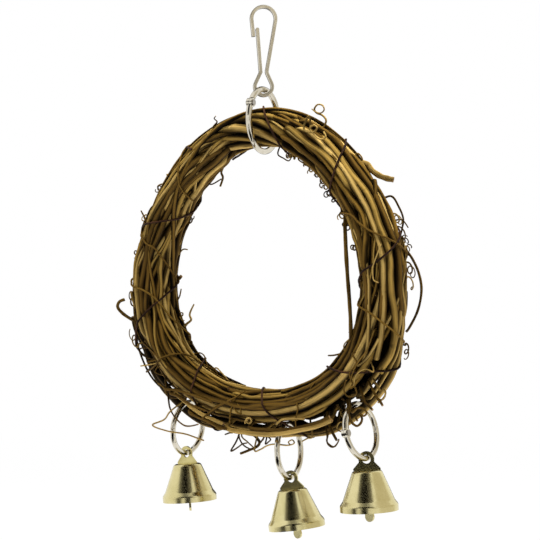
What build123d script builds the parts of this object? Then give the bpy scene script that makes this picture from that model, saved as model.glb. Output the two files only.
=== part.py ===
from build123d import *

import math
import os

# Bird swing: a wreath of wound vines hung on a hinged ring and a spring hook,
# with three bells on smaller hinged rings below. Millimetres, +Z up, origin at
# the centre of the hook's upper arch, wreath in the XZ plane.

# Spring hook, bent from one flat wire
hook_wire_thick = 1.6
hook_wire_depth = 2.0
hook_edge_radius = 0.35
hook_arch_inner_radius = 4.6
hook_loop_inner_radius = 3.1
hook_loop_drop = 30.4
hook_waist_drop = 24.0
hook_waist_gap = 1.1
hook_waist_bend_radius = 2.4
hook_nose_drop = 8.1
hook_nose_gap = 0.4
hook_tip_drop = 4.9
hook_tip_offset = 2.8
hook_pivot_clearance = 0.05
hook_yaw = 46.0

# Hinged rings: inner diameter and wire, the large one on top, three small ones below
top_ring_inner = 25.0
top_ring_wire = 2.7
low_ring_inner = 21.0
low_ring_wire = 2.5
ring_lug_share = 1.5
ring_lug_clearance = 0.3
ring_lap_share = 1.1
ring_lap_gap = 0.1
rivet_shank_share = 0.56
rivet_head_share = 1.0
rivet_head_height = 0.45
rivet_clearance = 0.05
top_ring_yaw = 11.0
top_ring_hinge = -1
top_ring_roll = 30.0
loop_hang_gap = 0.5

# Vines: outer strands lie in slots round the bundle, the core vine inside them;
# cuts, spans, phases, starts, reaches and windows are degrees along or round it
bundle_radius = 62.6
bundle_widen = 2.6
bundle_sag = 3.4
strand_gap = 0.45
slot_count = 9
slot_step = 4
lay_turns = 1
core_diameter = 3.0
core_strand_count = 3
core_gap = 0.5
vine_diameters = {"carrier": 4.2, "second": 3.1, "third": 3.6, "fourth": 2.8, "fifth": 3.4}
vine_cuts = [-77.0, 635.0, 1294.0, 1898.5, 2285.0, 3163.0]
vine_cut_half = 3.5
vine_end_flares = [(3.0, 1.0), (2.0, 0.5), (1.5, 0.4), (0.5, 4.0), (1.0, 2.0)]
vine_flare_reach = 13.0
core_span = (30.0, 1090.0)
vine_steps_per_turn = 30

# How the bundle spreads: tight in the top ring, flat and wide along the bottom
spread_axial_share = 1.5
spread_radial_share = 1.1
spread_start = 18.0
spread_reach = 80.0
flat_half_angle = 50.0
flat_fade_start = 52.0
flat_fade_reach = 34.0
flat_share = 0.72
lay_ramp_share = 0.2
carrier_window = 24.0
carrier_pass_room = 3.6
carrier_side_push = 3.5
carrier_side_start = 12.0
carrier_side_reach = 18.0

# Runners: thin vines laid the other way, and the wire that binds the bundle
runner_diameters = {"front": 2.2, "back": 1.8}
runner_sides = {"front": -30.0, "back": 30.0}
runner_span = (16.0, 344.0)
bind_diameter = 0.9
bind_gap = 0.3
bind_turns = 9
bind_phase = 20.0
bind_span = (212.0, 560.0)
bind_steps_per_turn = 6
top_rest_gap = 0.3

# Shoots: short growths that stand off the bundle, by their side of it, the angles
# they pass from the bottom, and how far they rise there off the outer strands
shoot_gap = 0.3
shoot_steps_per_row = 3
shoots = {
    "upper": {
        "diameter": 2.5,
        "side": 30.0,
        "angles": [130.0, 127.0, 124.0, 121.8, 120.6],
        "rises": [0.0, 0.1, 1.6, 3.8, 5.6],
    },
    "hook": {
        "diameter": 1.5,
        "side": -50.0,
        "angles": [290.0, 287.6, 285.0, 283.0, 281.4, 280.9],
        "rises": [-3.2, 1.3, 5.0, 6.6, 5.6, 3.2],
    },
    "bow": {
        "diameter": 1.1,
        "side": 45.0,
        "angles": [97.0, 93.0, 88.0, 83.0, 77.0, 71.0],
        "rises": [0.0, 2.4, 4.4, 5.0, 3.4, 0.0],
    },
    "inner": {
        "diameter": 1.7,
        "side": 225.0,
        "angles": [114.0, 107.0, 97.0, 87.0, 77.0, 68.0, 60.0],
        "rises": [-1.0, 1.6, 3.8, 4.6, 3.8, 1.6, -1.4],
    },
}

# Bells, pressed from sheet, each with a flat hanger and a tongue clapper
bell_sheet = 0.7
bell_crown_radius = 6.2
bell_crown_round = 1.6
bell_flank_radius = 11.1
bell_flank_drop = 12.6
bell_bead_radius = 12.5
bell_bead_drop = 14.6
bell_height = 17.2
hanger_thick = 0.8
hanger_base_width = 11.8
hanger_base_height = 0.7
hanger_neck_width = 6.6
hanger_neck_height = 3.5
hanger_ear_radius = 3.4
hanger_hole_radius = 1.9
hanger_hole_height = 4.7
hanger_tail_width = 3.6
hanger_tail_hole_radius = 1.3
hanger_tail_hole_drop = 3.3
hanger_slot_clearance = 0.15
eye_wire_radius = 0.4
eye_radius = 1.6
tongue_thick = 0.9
tongue_neck_width = 1.5
tongue_width = 4.4
tongue_below_mouth = 4.7
link_gap = 0.3

# Where the small rings hang: angle from the bottom, yaw, outward lean, side of
# the hinge and its roll up from level, and for the bell its lug yaw, lean and
# the yaw of its tongue
hangings = {
    "left": {
        "angle": -34.0,
        "yaw": 6.0,
        "lean": -4.0,
        "hinge": 1,
        "roll": 22.0,
        "lug": -8.0,
        "tilt": 5.0,
        "tongue": -49.0,
    },
    "middle": {
        "angle": 10.9,
        "yaw": 12.0,
        "lean": 4.0,
        "hinge": 1,
        "roll": 38.0,
        "lug": -2.0,
        "tilt": 8.0,
        "tongue": -16.0,
    },
    "right": {
        "angle": 40.0,
        "yaw": 3.0,
        "lean": 13.0,
        "hinge": -1,
        "roll": 0.0,
        "lug": 23.0,
        "tilt": 4.0,
        "tongue": -27.0,
    },
}

# Sizes that follow
full_turn = 360.0
half_turn = full_turn / 2
vine_radii = {name: size / 2 for name, size in vine_diameters.items()}
thick_radius = max(vine_radii.values())
pair_mean = (vine_diameters["carrier"] + vine_diameters["fifth"]) / 2
lay_radius = (pair_mean + strand_gap) / (2 * math.sin(math.pi / slot_count))
core_radius = core_diameter / 2
core_lay_radius = lay_radius - thick_radius - core_gap - core_radius
bundle_reach = lay_radius + thick_radius
carrier_push = low_ring_wire + carrier_pass_room
lay_twist = full_turn * (lay_turns + slot_step / slot_count)
core_twist = full_turn * (lay_turns + 1 / core_strand_count)

hook_arch_radius = hook_arch_inner_radius + hook_wire_thick / 2
hook_loop_radius = hook_loop_inner_radius + hook_wire_thick / 2
top_ring_radius = (top_ring_inner + top_ring_wire) / 2
low_ring_radius = (low_ring_inner + low_ring_wire) / 2
top_wire_z = -hook_loop_drop - hook_loop_inner_radius + loop_hang_gap + top_ring_wire / 2
top_ring_z = top_wire_z - top_ring_radius
egg_peak_share = 2 / (3 * math.sqrt(3))
bundle_top_z = top_ring_z - (top_ring_inner / 2 - bundle_reach - top_rest_gap)
wreath_z = bundle_top_z - bundle_radius


def smooth(share):
    """Ease from 0 to 1."""
    share = min(max(share, 0), 1)
    return share * share * (3 - 2 * share)


def lay_share(theta):
    """Share of one turn's twist laid in by the angle theta from the bottom."""
    run = min(max((theta - flat_half_angle) / (full_turn - 2 * flat_half_angle), 0), 1)
    pace = 1 / (1 - lay_ramp_share)
    if run < lay_ramp_share:
        return pace * run * run / (2 * lay_ramp_share)
    if run > 1 - lay_ramp_share:
        return 1 - pace * (1 - run) ** 2 / (2 * lay_ramp_share)
    return pace * (run - lay_ramp_share / 2)


def laid(tau, twist):
    """Twist angle laid in along a strand that has run tau degrees."""
    turns = math.floor(tau / full_turn)
    return twist * (turns + lay_share(tau - turns * full_turn))


def bottom_weight(theta):
    """1 along the flat bottom of the wreath, easing to 0 up its sides."""
    from_bottom = abs((theta + half_turn) % full_turn - half_turn)
    return smooth((flat_fade_start + flat_fade_reach - from_bottom) / flat_fade_reach)


def bundle_offset(theta, rho, alpha):
    """Radial and axial place of a strand at polar place rho, alpha in the bundle."""
    from_top = abs(theta % full_turn - half_turn)
    spread = smooth((from_top - spread_start) / spread_reach)
    low = bottom_weight(theta)
    cosine = math.cos(math.radians(alpha))
    axial = rho * math.sin(math.radians(alpha)) * (1 + (spread_axial_share - 1) * spread)
    radial = rho * cosine * (1 + (spread_radial_share - 1) * spread * (1 - low))
    outer_side = smooth(cosine / (2 * lay_ramp_share) + 1 / 2)
    radial *= 1 - (1 - flat_share) * low * outer_side
    turned = (alpha + half_turn) % full_turn - half_turn
    from_bottom = half_turn - from_top
    push = carrier_push + carrier_side_push * smooth((from_bottom - carrier_side_start) / carrier_side_reach)
    radial += push * low * math.exp(-((turned / carrier_window) ** 2)) * rho / lay_radius
    return radial, axial


def wreath_point(theta, radial, axial):
    """Point at an angle from the bottom of the wreath, offset from the bundle's centre."""
    angle = math.radians(theta)
    side = math.sin(angle) ** 2
    sag = bundle_sag * side * math.cos(angle) / egg_peak_share
    reach = bundle_radius + bundle_widen * side + sag + radial
    return Vector(reach * math.sin(angle), axial, wreath_z - reach * math.cos(angle))


def hull_point(theta, alpha, stand_off):
    """Point on the oval that clears the bundle by stand_off."""
    outer = bundle_offset(theta, lay_radius, 0)[0]
    inner = -bundle_offset(theta, lay_radius, half_turn)[0]
    side = bundle_offset(theta, lay_radius, half_turn / 2)[1]
    cosine = math.cos(math.radians(alpha))
    reach = outer if cosine > 0 else inner
    radial = (reach + stand_off) * cosine
    axial = (side + stand_off) * math.sin(math.radians(alpha))
    return wreath_point(theta, radial, axial)


def outer_strand(flares, span):
    """Route of an outer vine: place along the wreath for a run of tau degrees."""
    start, end = span

    def route(tau):
        flare = flares[0] * smooth((start + vine_flare_reach - tau) / vine_flare_reach)
        flare += flares[1] * smooth((tau - end + vine_flare_reach) / vine_flare_reach)
        rho = lay_radius + flare
        return wreath_point(tau, *bundle_offset(tau, rho, laid(tau, lay_twist)))

    return route


def core_strand(tau):
    """Route of the core vine."""
    alpha = half_turn / core_strand_count + laid(tau, core_twist)
    return wreath_point(tau, *bundle_offset(tau, core_lay_radius, alpha))


def runner_strand(side, radius):
    """Route of a runner, laid against the other vines outside the binding wire."""
    stand_off = thick_radius + 2 * bind_gap + bind_diameter + radius

    def route(tau):
        alpha = half_turn + side - laid(tau, full_turn)
        return hull_point(tau, alpha, stand_off)

    return route


def bind_strand(tau):
    """Route of the binding wire, close round the bundle."""
    stand_off = thick_radius + bind_gap + bind_diameter / 2
    return hull_point(tau, bind_turns * (tau - bind_phase), stand_off)


def between(rows, tau):
    """Smooth value at place tau along a list of rows."""
    last = len(rows) - 1
    i = min(max(math.floor(tau), 0), last - 1)
    share = tau - i
    start, end = rows[i], rows[i + 1]
    rise_in = (end - rows[max(i - 1, 0)]) / 2
    rise_out = (rows[min(i + 2, last)] - start) / 2
    eased = smooth(share)
    bend = share * (1 - share)
    return start + (end - start) * eased + bend * ((1 - share) * rise_in - share * rise_out)


def shoot_strand(shoot):
    """Route of a shoot, which rises off the bundle and may come back to it."""
    rest = thick_radius + shoot["diameter"] / 2 + shoot_gap

    def route(tau):
        rise = between(shoot["rises"], tau)
        return hull_point(between(shoot["angles"], tau), shoot["side"], rest + rise)

    return route


def heading(route, tau):
    """Direction of a route at tau."""
    step = full_turn / 7200
    return (route(tau + step) - route(tau - step)).normalized()


def biarc(start, start_dir, end, end_dir):
    """Two arcs that meet smoothly between two placed directions."""
    chord = end - start
    both = start_dir + end_dir
    bend = 2 * (1 - start_dir.dot(end_dir))
    along = chord.dot(both)
    if bend < 1e-9:
        reach = chord.dot(chord) / (2 * along)
    else:
        reach = (-along + math.sqrt(along * along + bend * chord.dot(chord))) / bend
    middle = (start + start_dir * reach + end - end_dir * reach) * (1 / 2)
    middle_dir = (end - end_dir * reach - start - start_dir * reach).normalized()
    return [
        Edge.make_tangent_arc(start, start_dir, middle),
        Edge.make_tangent_arc(middle, middle_dir, end),
    ]


def centre_line(route, span, steps):
    """Chain of arcs along a route, with its start and first direction."""
    taus = [span[0] + (span[1] - span[0]) * i / steps for i in range(steps + 1)]
    points = [route(tau) for tau in taus]
    headings = [heading(route, tau) for tau in taus]
    edges = []
    for i in range(steps):
        edges += biarc(points[i], headings[i], points[i + 1], headings[i + 1])
    return Wire(edges), points[0], headings[0]


def tube(route, span, steps, radius):
    """Unbroken round tube along a route."""
    path, start, first = centre_line(route, span, steps)
    section = Plane(origin=start, z_dir=first) * Circle(radius)
    return sweep(section, path=path)


def least_gap(route, span, radius):
    """Least clear distance between neighbouring turns of one tube, measured on points."""
    count = int(span[1] - span[0]) // 3
    points = [route(span[0] + (span[1] - span[0]) * i / count) for i in range(count + 1)]
    skip = count * 40 // int(span[1] - span[0])
    pairs = ((a, b) for a in range(count + 1) for b in range(a + skip, count + 1))
    closest = min(((points[a] - points[b]).length for a, b in pairs), default=bundle_radius)
    return closest - 2 * radius


def rod(start, end, radius):
    """Round rod between two points."""
    axis = end - start
    return extrude(Plane(origin=start, z_dir=axis) * Circle(radius), axis.length)


def slab(low, high):
    """Box between two corners."""
    size = high - low
    return Pos((low + high) * (1 / 2)) * Box(size.X, size.Y, size.Z)


def tangent_point(centre, radius, point, side):
    """Where a line from point touches a circle, on the side given by its sign."""
    away = point - centre
    turn = math.degrees(math.acos(radius / away.length)) * side
    return centre + away.normalized().rotate(Axis.Z, turn) * radius


def hook_points():
    """Centre line of the hook in its own plane, seen from the front."""
    waist_half = (hook_waist_gap + hook_wire_thick) / 2
    waist = Vector(waist_half, -hook_waist_drop)
    pivot = Vector(-waist_half, -hook_waist_drop)
    tip = Vector(-hook_tip_offset, -hook_tip_drop)
    lap = (hook_nose_drop - hook_tip_drop) / (hook_waist_drop - hook_tip_drop)
    gate_x = tip.X + (pivot.X - tip.X) * lap
    nose = Vector(gate_x - hook_wire_thick - hook_nose_gap, -hook_nose_drop)
    return waist, pivot, tip, nose


def hook_body():
    """Nose, arch, long arm and lower loop of the hook, in its own plane."""
    waist, pivot, _, nose = hook_points()
    arch = Vector(0, 0)
    loop = Vector(0, -hook_loop_drop)
    nose_end = tangent_point(arch, hook_arch_radius, nose, -1)
    arm_end = tangent_point(arch, hook_arch_radius, waist, 1)
    loop_right = tangent_point(loop, hook_loop_radius, waist, -1)
    loop_left = tangent_point(loop, hook_loop_radius, pivot, 1)
    arm = (waist - arm_end).normalized()
    flare = (loop_right - waist).normalized()
    bend = math.acos(min(1, arm.dot(flare)))
    cut_back = hook_waist_bend_radius * math.tan(bend / 2)
    bend_start = waist - arm * cut_back
    bend_end = waist + flare * cut_back
    path = Wire(
        [
            Edge.make_line(nose, nose_end),
            Edge.make_three_point_arc(nose_end, Vector(0, hook_arch_radius), arm_end),
            Edge.make_line(arm_end, bend_start),
            Edge.make_tangent_arc(bend_start, arm, bend_end),
            Edge.make_line(bend_end, loop_right),
            Edge.make_three_point_arc(loop_right, loop - Vector(0, hook_loop_radius), loop_left),
            Edge.make_line(loop_left, pivot),
        ]
    )
    frame = Plane(origin=nose, x_dir=(0, 0, 1), z_dir=(nose_end - nose).normalized())
    section = frame * RectangleRounded(hook_wire_depth, hook_wire_thick, hook_edge_radius)
    body = sweep(section, path=path)
    return body - hook_knuckle(pivot, hook_wire_thick / 2 + hook_pivot_clearance, hook_wire_depth)


def hook_knuckle(centre, radius, spare=0):
    """Round end of the gate, also used with spare length to clear it."""
    half = Vector(0, 0, (hook_wire_depth + spare) / 2)
    return rod(centre - half, centre + half, radius)


def hook_gate():
    """Springy closing arm of the hook, in its own plane."""
    _, pivot, tip, _ = hook_points()
    along = tip - pivot
    frame = Plane(origin=pivot, x_dir=(0, 0, 1), z_dir=along.normalized())
    arm = extrude(
        frame * RectangleRounded(hook_wire_depth, hook_wire_thick, hook_edge_radius), along.length
    )
    gate = arm + hook_knuckle(pivot, hook_wire_thick / 2)
    return gate + hook_knuckle(tip, hook_wire_thick / 2)


def hinged_ring(radius, wire):
    """Two half rings and their rivet: hinge at +X, snap lap at -X, opening about +Z."""
    half = wire / 2
    lug = half * ring_lug_share
    lap = half * ring_lap_share
    far = 2 * radius
    gap = ring_lap_gap / 2
    hinge = Vector(radius, 0, 0)
    up = Vector(0, 0, half)
    seam = Vector(0, 0, gap)
    torus = Torus(radius, half)
    above = slab(Vector(-far, 0, -far), Vector(far, far, far))
    below = slab(Vector(-far, -far, -far), Vector(far, 0, far))
    clear = lug + ring_lug_clearance
    upper = torus & above
    upper -= rod(hinge - up * 2, hinge + seam, clear)
    upper += rod(hinge + seam, hinge + up, lug)
    upper -= slab(Vector(-far, 0, -far), Vector(0, lap, gap))
    upper += torus & slab(Vector(-far, -lap, gap), Vector(0, lap, far))
    lower = torus & below
    lower -= rod(hinge - seam, hinge + up * 2, clear)
    lower += rod(hinge - up, hinge - seam, lug)
    lower -= slab(Vector(-far, -lap - ring_lap_gap, -gap), Vector(0, lap, far))
    lower += torus & slab(Vector(-far, -lap, -far), Vector(0, lap - ring_lap_gap, -gap))
    shank = half * rivet_shank_share
    head = half * rivet_head_share
    rise = Vector(0, 0, rivet_head_height)
    lift = Vector(0, 0, rivet_clearance)
    rivet = rod(hinge - up - lift, hinge + up, shank)
    rivet += rod(hinge + up, hinge + up + rise, head)
    rivet += rod(hinge - up - lift - rise, hinge - up - lift, head)
    upper -= rod(hinge - up * 2, hinge + up * 2, shank)
    lower -= rod(hinge - up * 2, hinge + up * 2, shank + rivet_clearance)
    return upper, lower, rivet


def bell_profile(inset):
    """Half section of the bell outline, moved inwards by inset and closed on the axis."""
    lean = math.atan2(bell_flank_radius - bell_crown_radius, bell_flank_drop)
    side = inset / math.cos(lean)
    crown = Vector(0, -inset)
    shoulder = Vector(bell_crown_radius - side + inset * math.tan(lean), -inset)
    flank = Vector(bell_flank_radius - side, -bell_flank_drop)
    bead = Vector(bell_bead_radius - inset, -bell_bead_drop - inset)
    mouth = Vector(bell_bead_radius - inset, -bell_height)
    base = Vector(0, -bell_height)
    outline = Polyline(crown, shoulder, flank, bead, mouth, base, close=True)
    face = make_face(outline)
    corner = face.vertices().sort_by_distance(shoulder)[0]
    face = fillet(corner, bell_crown_round - inset)
    knee = face.vertices().sort_by_distance(flank)[0]
    lip = face.vertices().sort_by_distance(bead)[0]
    return fillet([knee, lip], bell_sheet * 2)


def bell_shell():
    """Bell body, crown at the origin, slotted for its hanger."""
    outer = revolve(Plane.XZ * bell_profile(0), Axis.Z)
    inner = revolve(Plane.XZ * bell_profile(bell_sheet), Axis.Z)
    slot_half = hanger_tail_width / 2 + hanger_slot_clearance
    slot_thick = hanger_thick / 2 + hanger_slot_clearance
    reach = Vector(slot_half, slot_thick, bell_sheet * 2)
    return outer - inner - slab(reach * -1, reach)


def bell_hanger():
    """Flat hanger: ear with a hole, shoulders on the crown, tail with a small eye."""
    base = hanger_base_width / 2
    neck = hanger_neck_width / 2
    tail = hanger_tail_width / 2
    outline = Polyline(
        Vector(-base, 0),
        Vector(base, 0),
        Vector(base, hanger_base_height),
        Vector(neck, hanger_neck_height),
        Vector(neck, hanger_hole_height),
        Vector(-neck, hanger_hole_height),
        Vector(-neck, hanger_neck_height),
        Vector(-base, hanger_base_height),
        close=True,
    )
    plate = make_face(outline)
    eye_centre = Vector(0, -hanger_tail_hole_drop)
    plate += Pos(0, hanger_hole_height) * Circle(hanger_ear_radius)
    plate += Pos(0, -hanger_tail_hole_drop / 2) * Rectangle(2 * tail, hanger_tail_hole_drop)
    plate += Pos(eye_centre) * Circle(tail)
    plate -= Pos(0, hanger_hole_height) * Circle(hanger_hole_radius)
    plate -= Pos(eye_centre) * Circle(hanger_tail_hole_radius)
    return extrude(Plane.XZ * plate, hanger_thick / 2, both=True)


def clapper_eye_z():
    """Height of the clapper's eye centre below the crown."""
    return -hanger_tail_hole_drop - hanger_tail_hole_radius + link_gap + eye_wire_radius - eye_radius


def bell_clapper(yaw):
    """Flat tongue with a rolled eye, linked through the hanger's tail."""
    eye_z = clapper_eye_z()
    eye = Pos(0, 0, eye_z) * Rot(0, 90, 0) * Torus(eye_radius, eye_wire_radius)
    top = eye_z - eye_radius
    tip = -bell_height - tongue_below_mouth
    half = tongue_width / 2
    neck = tongue_neck_width / 2
    outline = Polyline(
        Vector(-neck, top),
        Vector(neck, top),
        Vector(half, tip + half),
        Vector(-half, tip + half),
        close=True,
    )
    tongue = make_face(outline) + Pos(0, tip + half) * Circle(half)
    plate = extrude(Plane.XZ * tongue, tongue_thick / 2, both=True)
    collar = rod(Vector(0, 0, top - neck), Vector(0, 0, top + eye_wire_radius / 2), tongue_thick / 2)
    return eye + Rot(0, 0, yaw) * (plate + collar)


def ring_plane(centre, side, up, roll):
    """Frame of a hinged ring, its hinge on the given side and rolled up from there."""
    turn = math.radians(roll)
    hinge = side * math.cos(turn) + up * math.sin(turn)
    return Plane(origin=centre, x_dir=hinge, z_dir=side.cross(up))


def top_ring_plane():
    """Frame of the top ring."""
    yaw = math.radians(top_ring_yaw)
    across = Vector(-math.sin(yaw), math.cos(yaw), 0)
    return ring_plane(Vector(0, 0, top_ring_z), across * top_ring_hinge, Vector(0, 0, 1), top_ring_roll)


def ring_frames(place):
    """Carrier point, ring frame and bell frame of one hanging ring."""
    yaw = math.radians(place["yaw"])
    lean = math.radians(place["lean"])
    across = Vector(-math.sin(yaw), math.cos(yaw), 0)
    level = Vector(math.cos(yaw), math.sin(yaw), 0)
    down = level * math.sin(lean) - Vector(0, 0, math.cos(lean))
    radial, axial = bundle_offset(place["angle"], lay_radius, 0)
    carrier = wreath_point(place["angle"], radial, axial)
    angle = math.radians(place["angle"])
    along = Vector(math.cos(angle), 0, math.sin(angle))
    square = along.cross(across).normalized()
    reach = vine_radii["carrier"] + link_gap + low_ring_wire / 2
    drop = reach / abs(down.dot(square))
    centre = carrier + down * (low_ring_radius - drop)
    ring = ring_plane(centre, across * place["hinge"], down * -1, place["roll"])
    pivot = centre + down * low_ring_radius
    bell = Location(pivot) * Rotation(0, 0, place["yaw"])
    bell *= Rotation(0, -place["tilt"], 0) * Rotation(0, 0, place["lug"])
    rise = hanger_hole_height + hanger_hole_radius - link_gap - low_ring_wire / 2
    return carrier, along, ring, bell, rise


def build_hook(parts):
    """Both hook pieces, turned to their yaw."""
    turn = Rotation(0, 0, hook_yaw) * Rotation(90, 0, 0)
    parts["hook_body"] = turn * hook_body()
    parts["hook_gate"] = turn * hook_gate()


def build_rings(parts):
    """The top ring and the three rings with their bells."""
    frame = top_ring_plane()
    upper, lower, rivet = hinged_ring(top_ring_radius, top_ring_wire)
    parts["top_ring_upper"] = frame.location * upper
    parts["top_ring_lower"] = frame.location * lower
    parts["top_ring_rivet"] = frame.location * rivet
    upper, lower, rivet = hinged_ring(low_ring_radius, low_ring_wire)
    shell = bell_shell()
    hanger = bell_hanger()
    for name, place in hangings.items():
        _, _, ring, bell, rise = ring_frames(place)
        parts[f"{name}_ring_upper"] = ring.location * upper
        parts[f"{name}_ring_lower"] = ring.location * lower
        parts[f"{name}_ring_rivet"] = ring.location * rivet
        seat = bell * Pos(0, 0, -rise)
        parts[f"{name}_bell_shell"] = seat * shell
        parts[f"{name}_bell_hanger"] = seat * hanger
        parts[f"{name}_bell_clapper"] = seat * bell_clapper(place["tongue"])


def build_vines(parts):
    """All wound pieces of the wreath."""
    for i, name in enumerate(vine_diameters):
        span = (vine_cuts[i] + vine_cut_half, vine_cuts[i + 1] - vine_cut_half)
        route = outer_strand(vine_end_flares[i], span)
        add_wound(parts, f"vine_{name}", route, span, vine_radii[name])
    add_wound(parts, "vine_core", core_strand, core_span, core_radius)
    for name, size in runner_diameters.items():
        route = runner_strand(runner_sides[name], size / 2)
        add_wound(parts, f"runner_{name}", route, runner_span, size / 2)
    for name, shoot in shoots.items():
        rows = len(shoot["angles"]) - 1
        span = (0, rows)
        parts[f"shoot_{name}"] = tube(
            shoot_strand(shoot), span, rows * shoot_steps_per_row, shoot["diameter"] / 2
        )
    steps = round(bind_steps_per_turn * bind_turns * (bind_span[1] - bind_span[0]) / full_turn)
    parts["binding_wire"] = tube(bind_strand, bind_span, steps, bind_diameter / 2)
    print("binding_wire least gap", round(least_gap(bind_strand, bind_span, bind_diameter / 2), 2))


def add_wound(parts, name, route, span, radius):
    """Add one vine and print the least gap between its turns."""
    steps = round(vine_steps_per_turn * (span[1] - span[0]) / full_turn)
    parts[name] = tube(route, span, steps, radius)
    print(name, "least gap", round(least_gap(route, span, radius), 2))


def print_frames():
    """Print the places that the joints and openings use."""
    waist, pivot, tip, nose = hook_points()
    turn = Rotation(0, 0, hook_yaw) * Rotation(90, 0, 0)
    print("hook pivot", (turn * Pos(pivot)).position, "tip", (turn * Pos(tip)).position)
    print("top wire z", top_wire_z, "ring z", top_ring_z, "bundle", bundle_top_z, "wreath", wreath_z)
    for name, place in hangings.items():
        carrier, along, ring, bell, rise = ring_frames(place)
        hinge = ring.from_local_coords((low_ring_radius, 0, 0))
        print(name, "carrier", carrier, "along", along)
        print(name, "ring", ring.origin, "hinge", hinge, "normal", ring.z_dir)
        print(name, "bell pivot", bell.position)
        eye = bell * Pos(0, 0, clapper_eye_z() - rise)
        lug_side = Plane(eye).x_dir
        print(name, "eye", eye.position, "axis", lug_side)


def main():
    """Build every piece and write one file for each."""
    os.makedirs("parts", exist_ok=True)
    parts = {}
    build_hook(parts)
    build_rings(parts)
    build_vines(parts)
    for name, shape in parts.items():
        solids = shape.solids()
        if len(solids) != 1:
            print(name, "has", len(solids), "solids")
        export_step(solids[0], f"parts/{name}.step")
    print_frames()


main()
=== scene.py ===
"""Looks of the bird swing: bark, runners, tendrils, binding wire, nickel and brass."""

import logging
import math
import random
from dataclasses import dataclass, field
from enum import Enum
from typing import Any, Iterable, Sequence

import bmesh
import bpy
from mathutils import Matrix, Vector, noise


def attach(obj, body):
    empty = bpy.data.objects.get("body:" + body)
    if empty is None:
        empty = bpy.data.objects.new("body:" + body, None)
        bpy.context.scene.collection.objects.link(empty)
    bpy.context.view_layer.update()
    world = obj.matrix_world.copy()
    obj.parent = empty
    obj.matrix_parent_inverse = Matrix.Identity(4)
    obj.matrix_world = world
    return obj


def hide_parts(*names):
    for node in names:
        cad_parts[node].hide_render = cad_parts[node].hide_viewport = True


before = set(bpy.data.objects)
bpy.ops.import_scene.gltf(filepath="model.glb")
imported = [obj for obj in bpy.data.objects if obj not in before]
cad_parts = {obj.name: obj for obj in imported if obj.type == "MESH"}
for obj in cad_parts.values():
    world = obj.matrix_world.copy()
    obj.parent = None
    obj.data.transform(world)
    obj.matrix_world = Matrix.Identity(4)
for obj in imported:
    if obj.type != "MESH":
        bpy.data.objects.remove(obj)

LOG = logging.getLogger("bird_swing")
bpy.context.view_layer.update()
MM = 0.001
Colour = tuple[float, float, float, float]
WHITE: Colour = (1.0, 1.0, 1.0, 1.0)


def rgb(red: float, green: float, blue: float) -> Colour:
    """Give a display colour (0 to 1) as the linear colour that shaders take."""
    linear = [((c + 0.055) / 1.055) ** 2.4 if c > 0.04045 else c / 12.92 for c in (red, green, blue)]
    return (*linear, 1.0)


def ease(share: float) -> float:
    """Ease from 0 to 1."""
    share = min(max(share, 0.0), 1.0)
    return share * share * (3.0 - 2.0 * share)


class Term:
    """A shader value: one output socket, with operators that add Math nodes."""

    def __init__(self, graph: "Graph", socket: bpy.types.NodeSocket) -> None:
        """Wrap a socket of a graph."""
        self.graph = graph
        self.socket = socket

    def _math(self, operation: str, *values: Any) -> "Term":
        """Add one Math node on the given values."""
        return self.graph.node("ShaderNodeMath", {"operation": operation}, dict(enumerate(values)))

    def __add__(self, other: Any) -> "Term":
        """Sum."""
        return self._math("ADD", self, other)

    __radd__ = __add__

    def __sub__(self, other: Any) -> "Term":
        """Difference."""
        return self._math("SUBTRACT", self, other)

    def __rsub__(self, other: Any) -> "Term":
        """Difference from a plain number."""
        return self._math("SUBTRACT", other, self)

    def __mul__(self, other: Any) -> "Term":
        """Product."""
        return self._math("MULTIPLY", self, other)

    __rmul__ = __mul__

    def __pow__(self, other: Any) -> "Term":
        """Power."""
        return self._math("POWER", self, other)

    def larger(self, other: Any) -> "Term":
        """The larger of two values."""
        return self._math("MAXIMUM", self, other)

    def band(self, low: float, high: float) -> "Term":
        """Ease from 0 at low to 1 at high.

        Args:
            low: value that gives 0.
            high: value that gives 1.

        Returns:
            The eased term.
        """
        settings = {"interpolation_type": "SMOOTHSTEP", "clamp": True}
        return self.graph.node("ShaderNodeMapRange", settings, {0: self, 1: low, 2: high, 3: 0.0, 4: 1.0})


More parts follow.
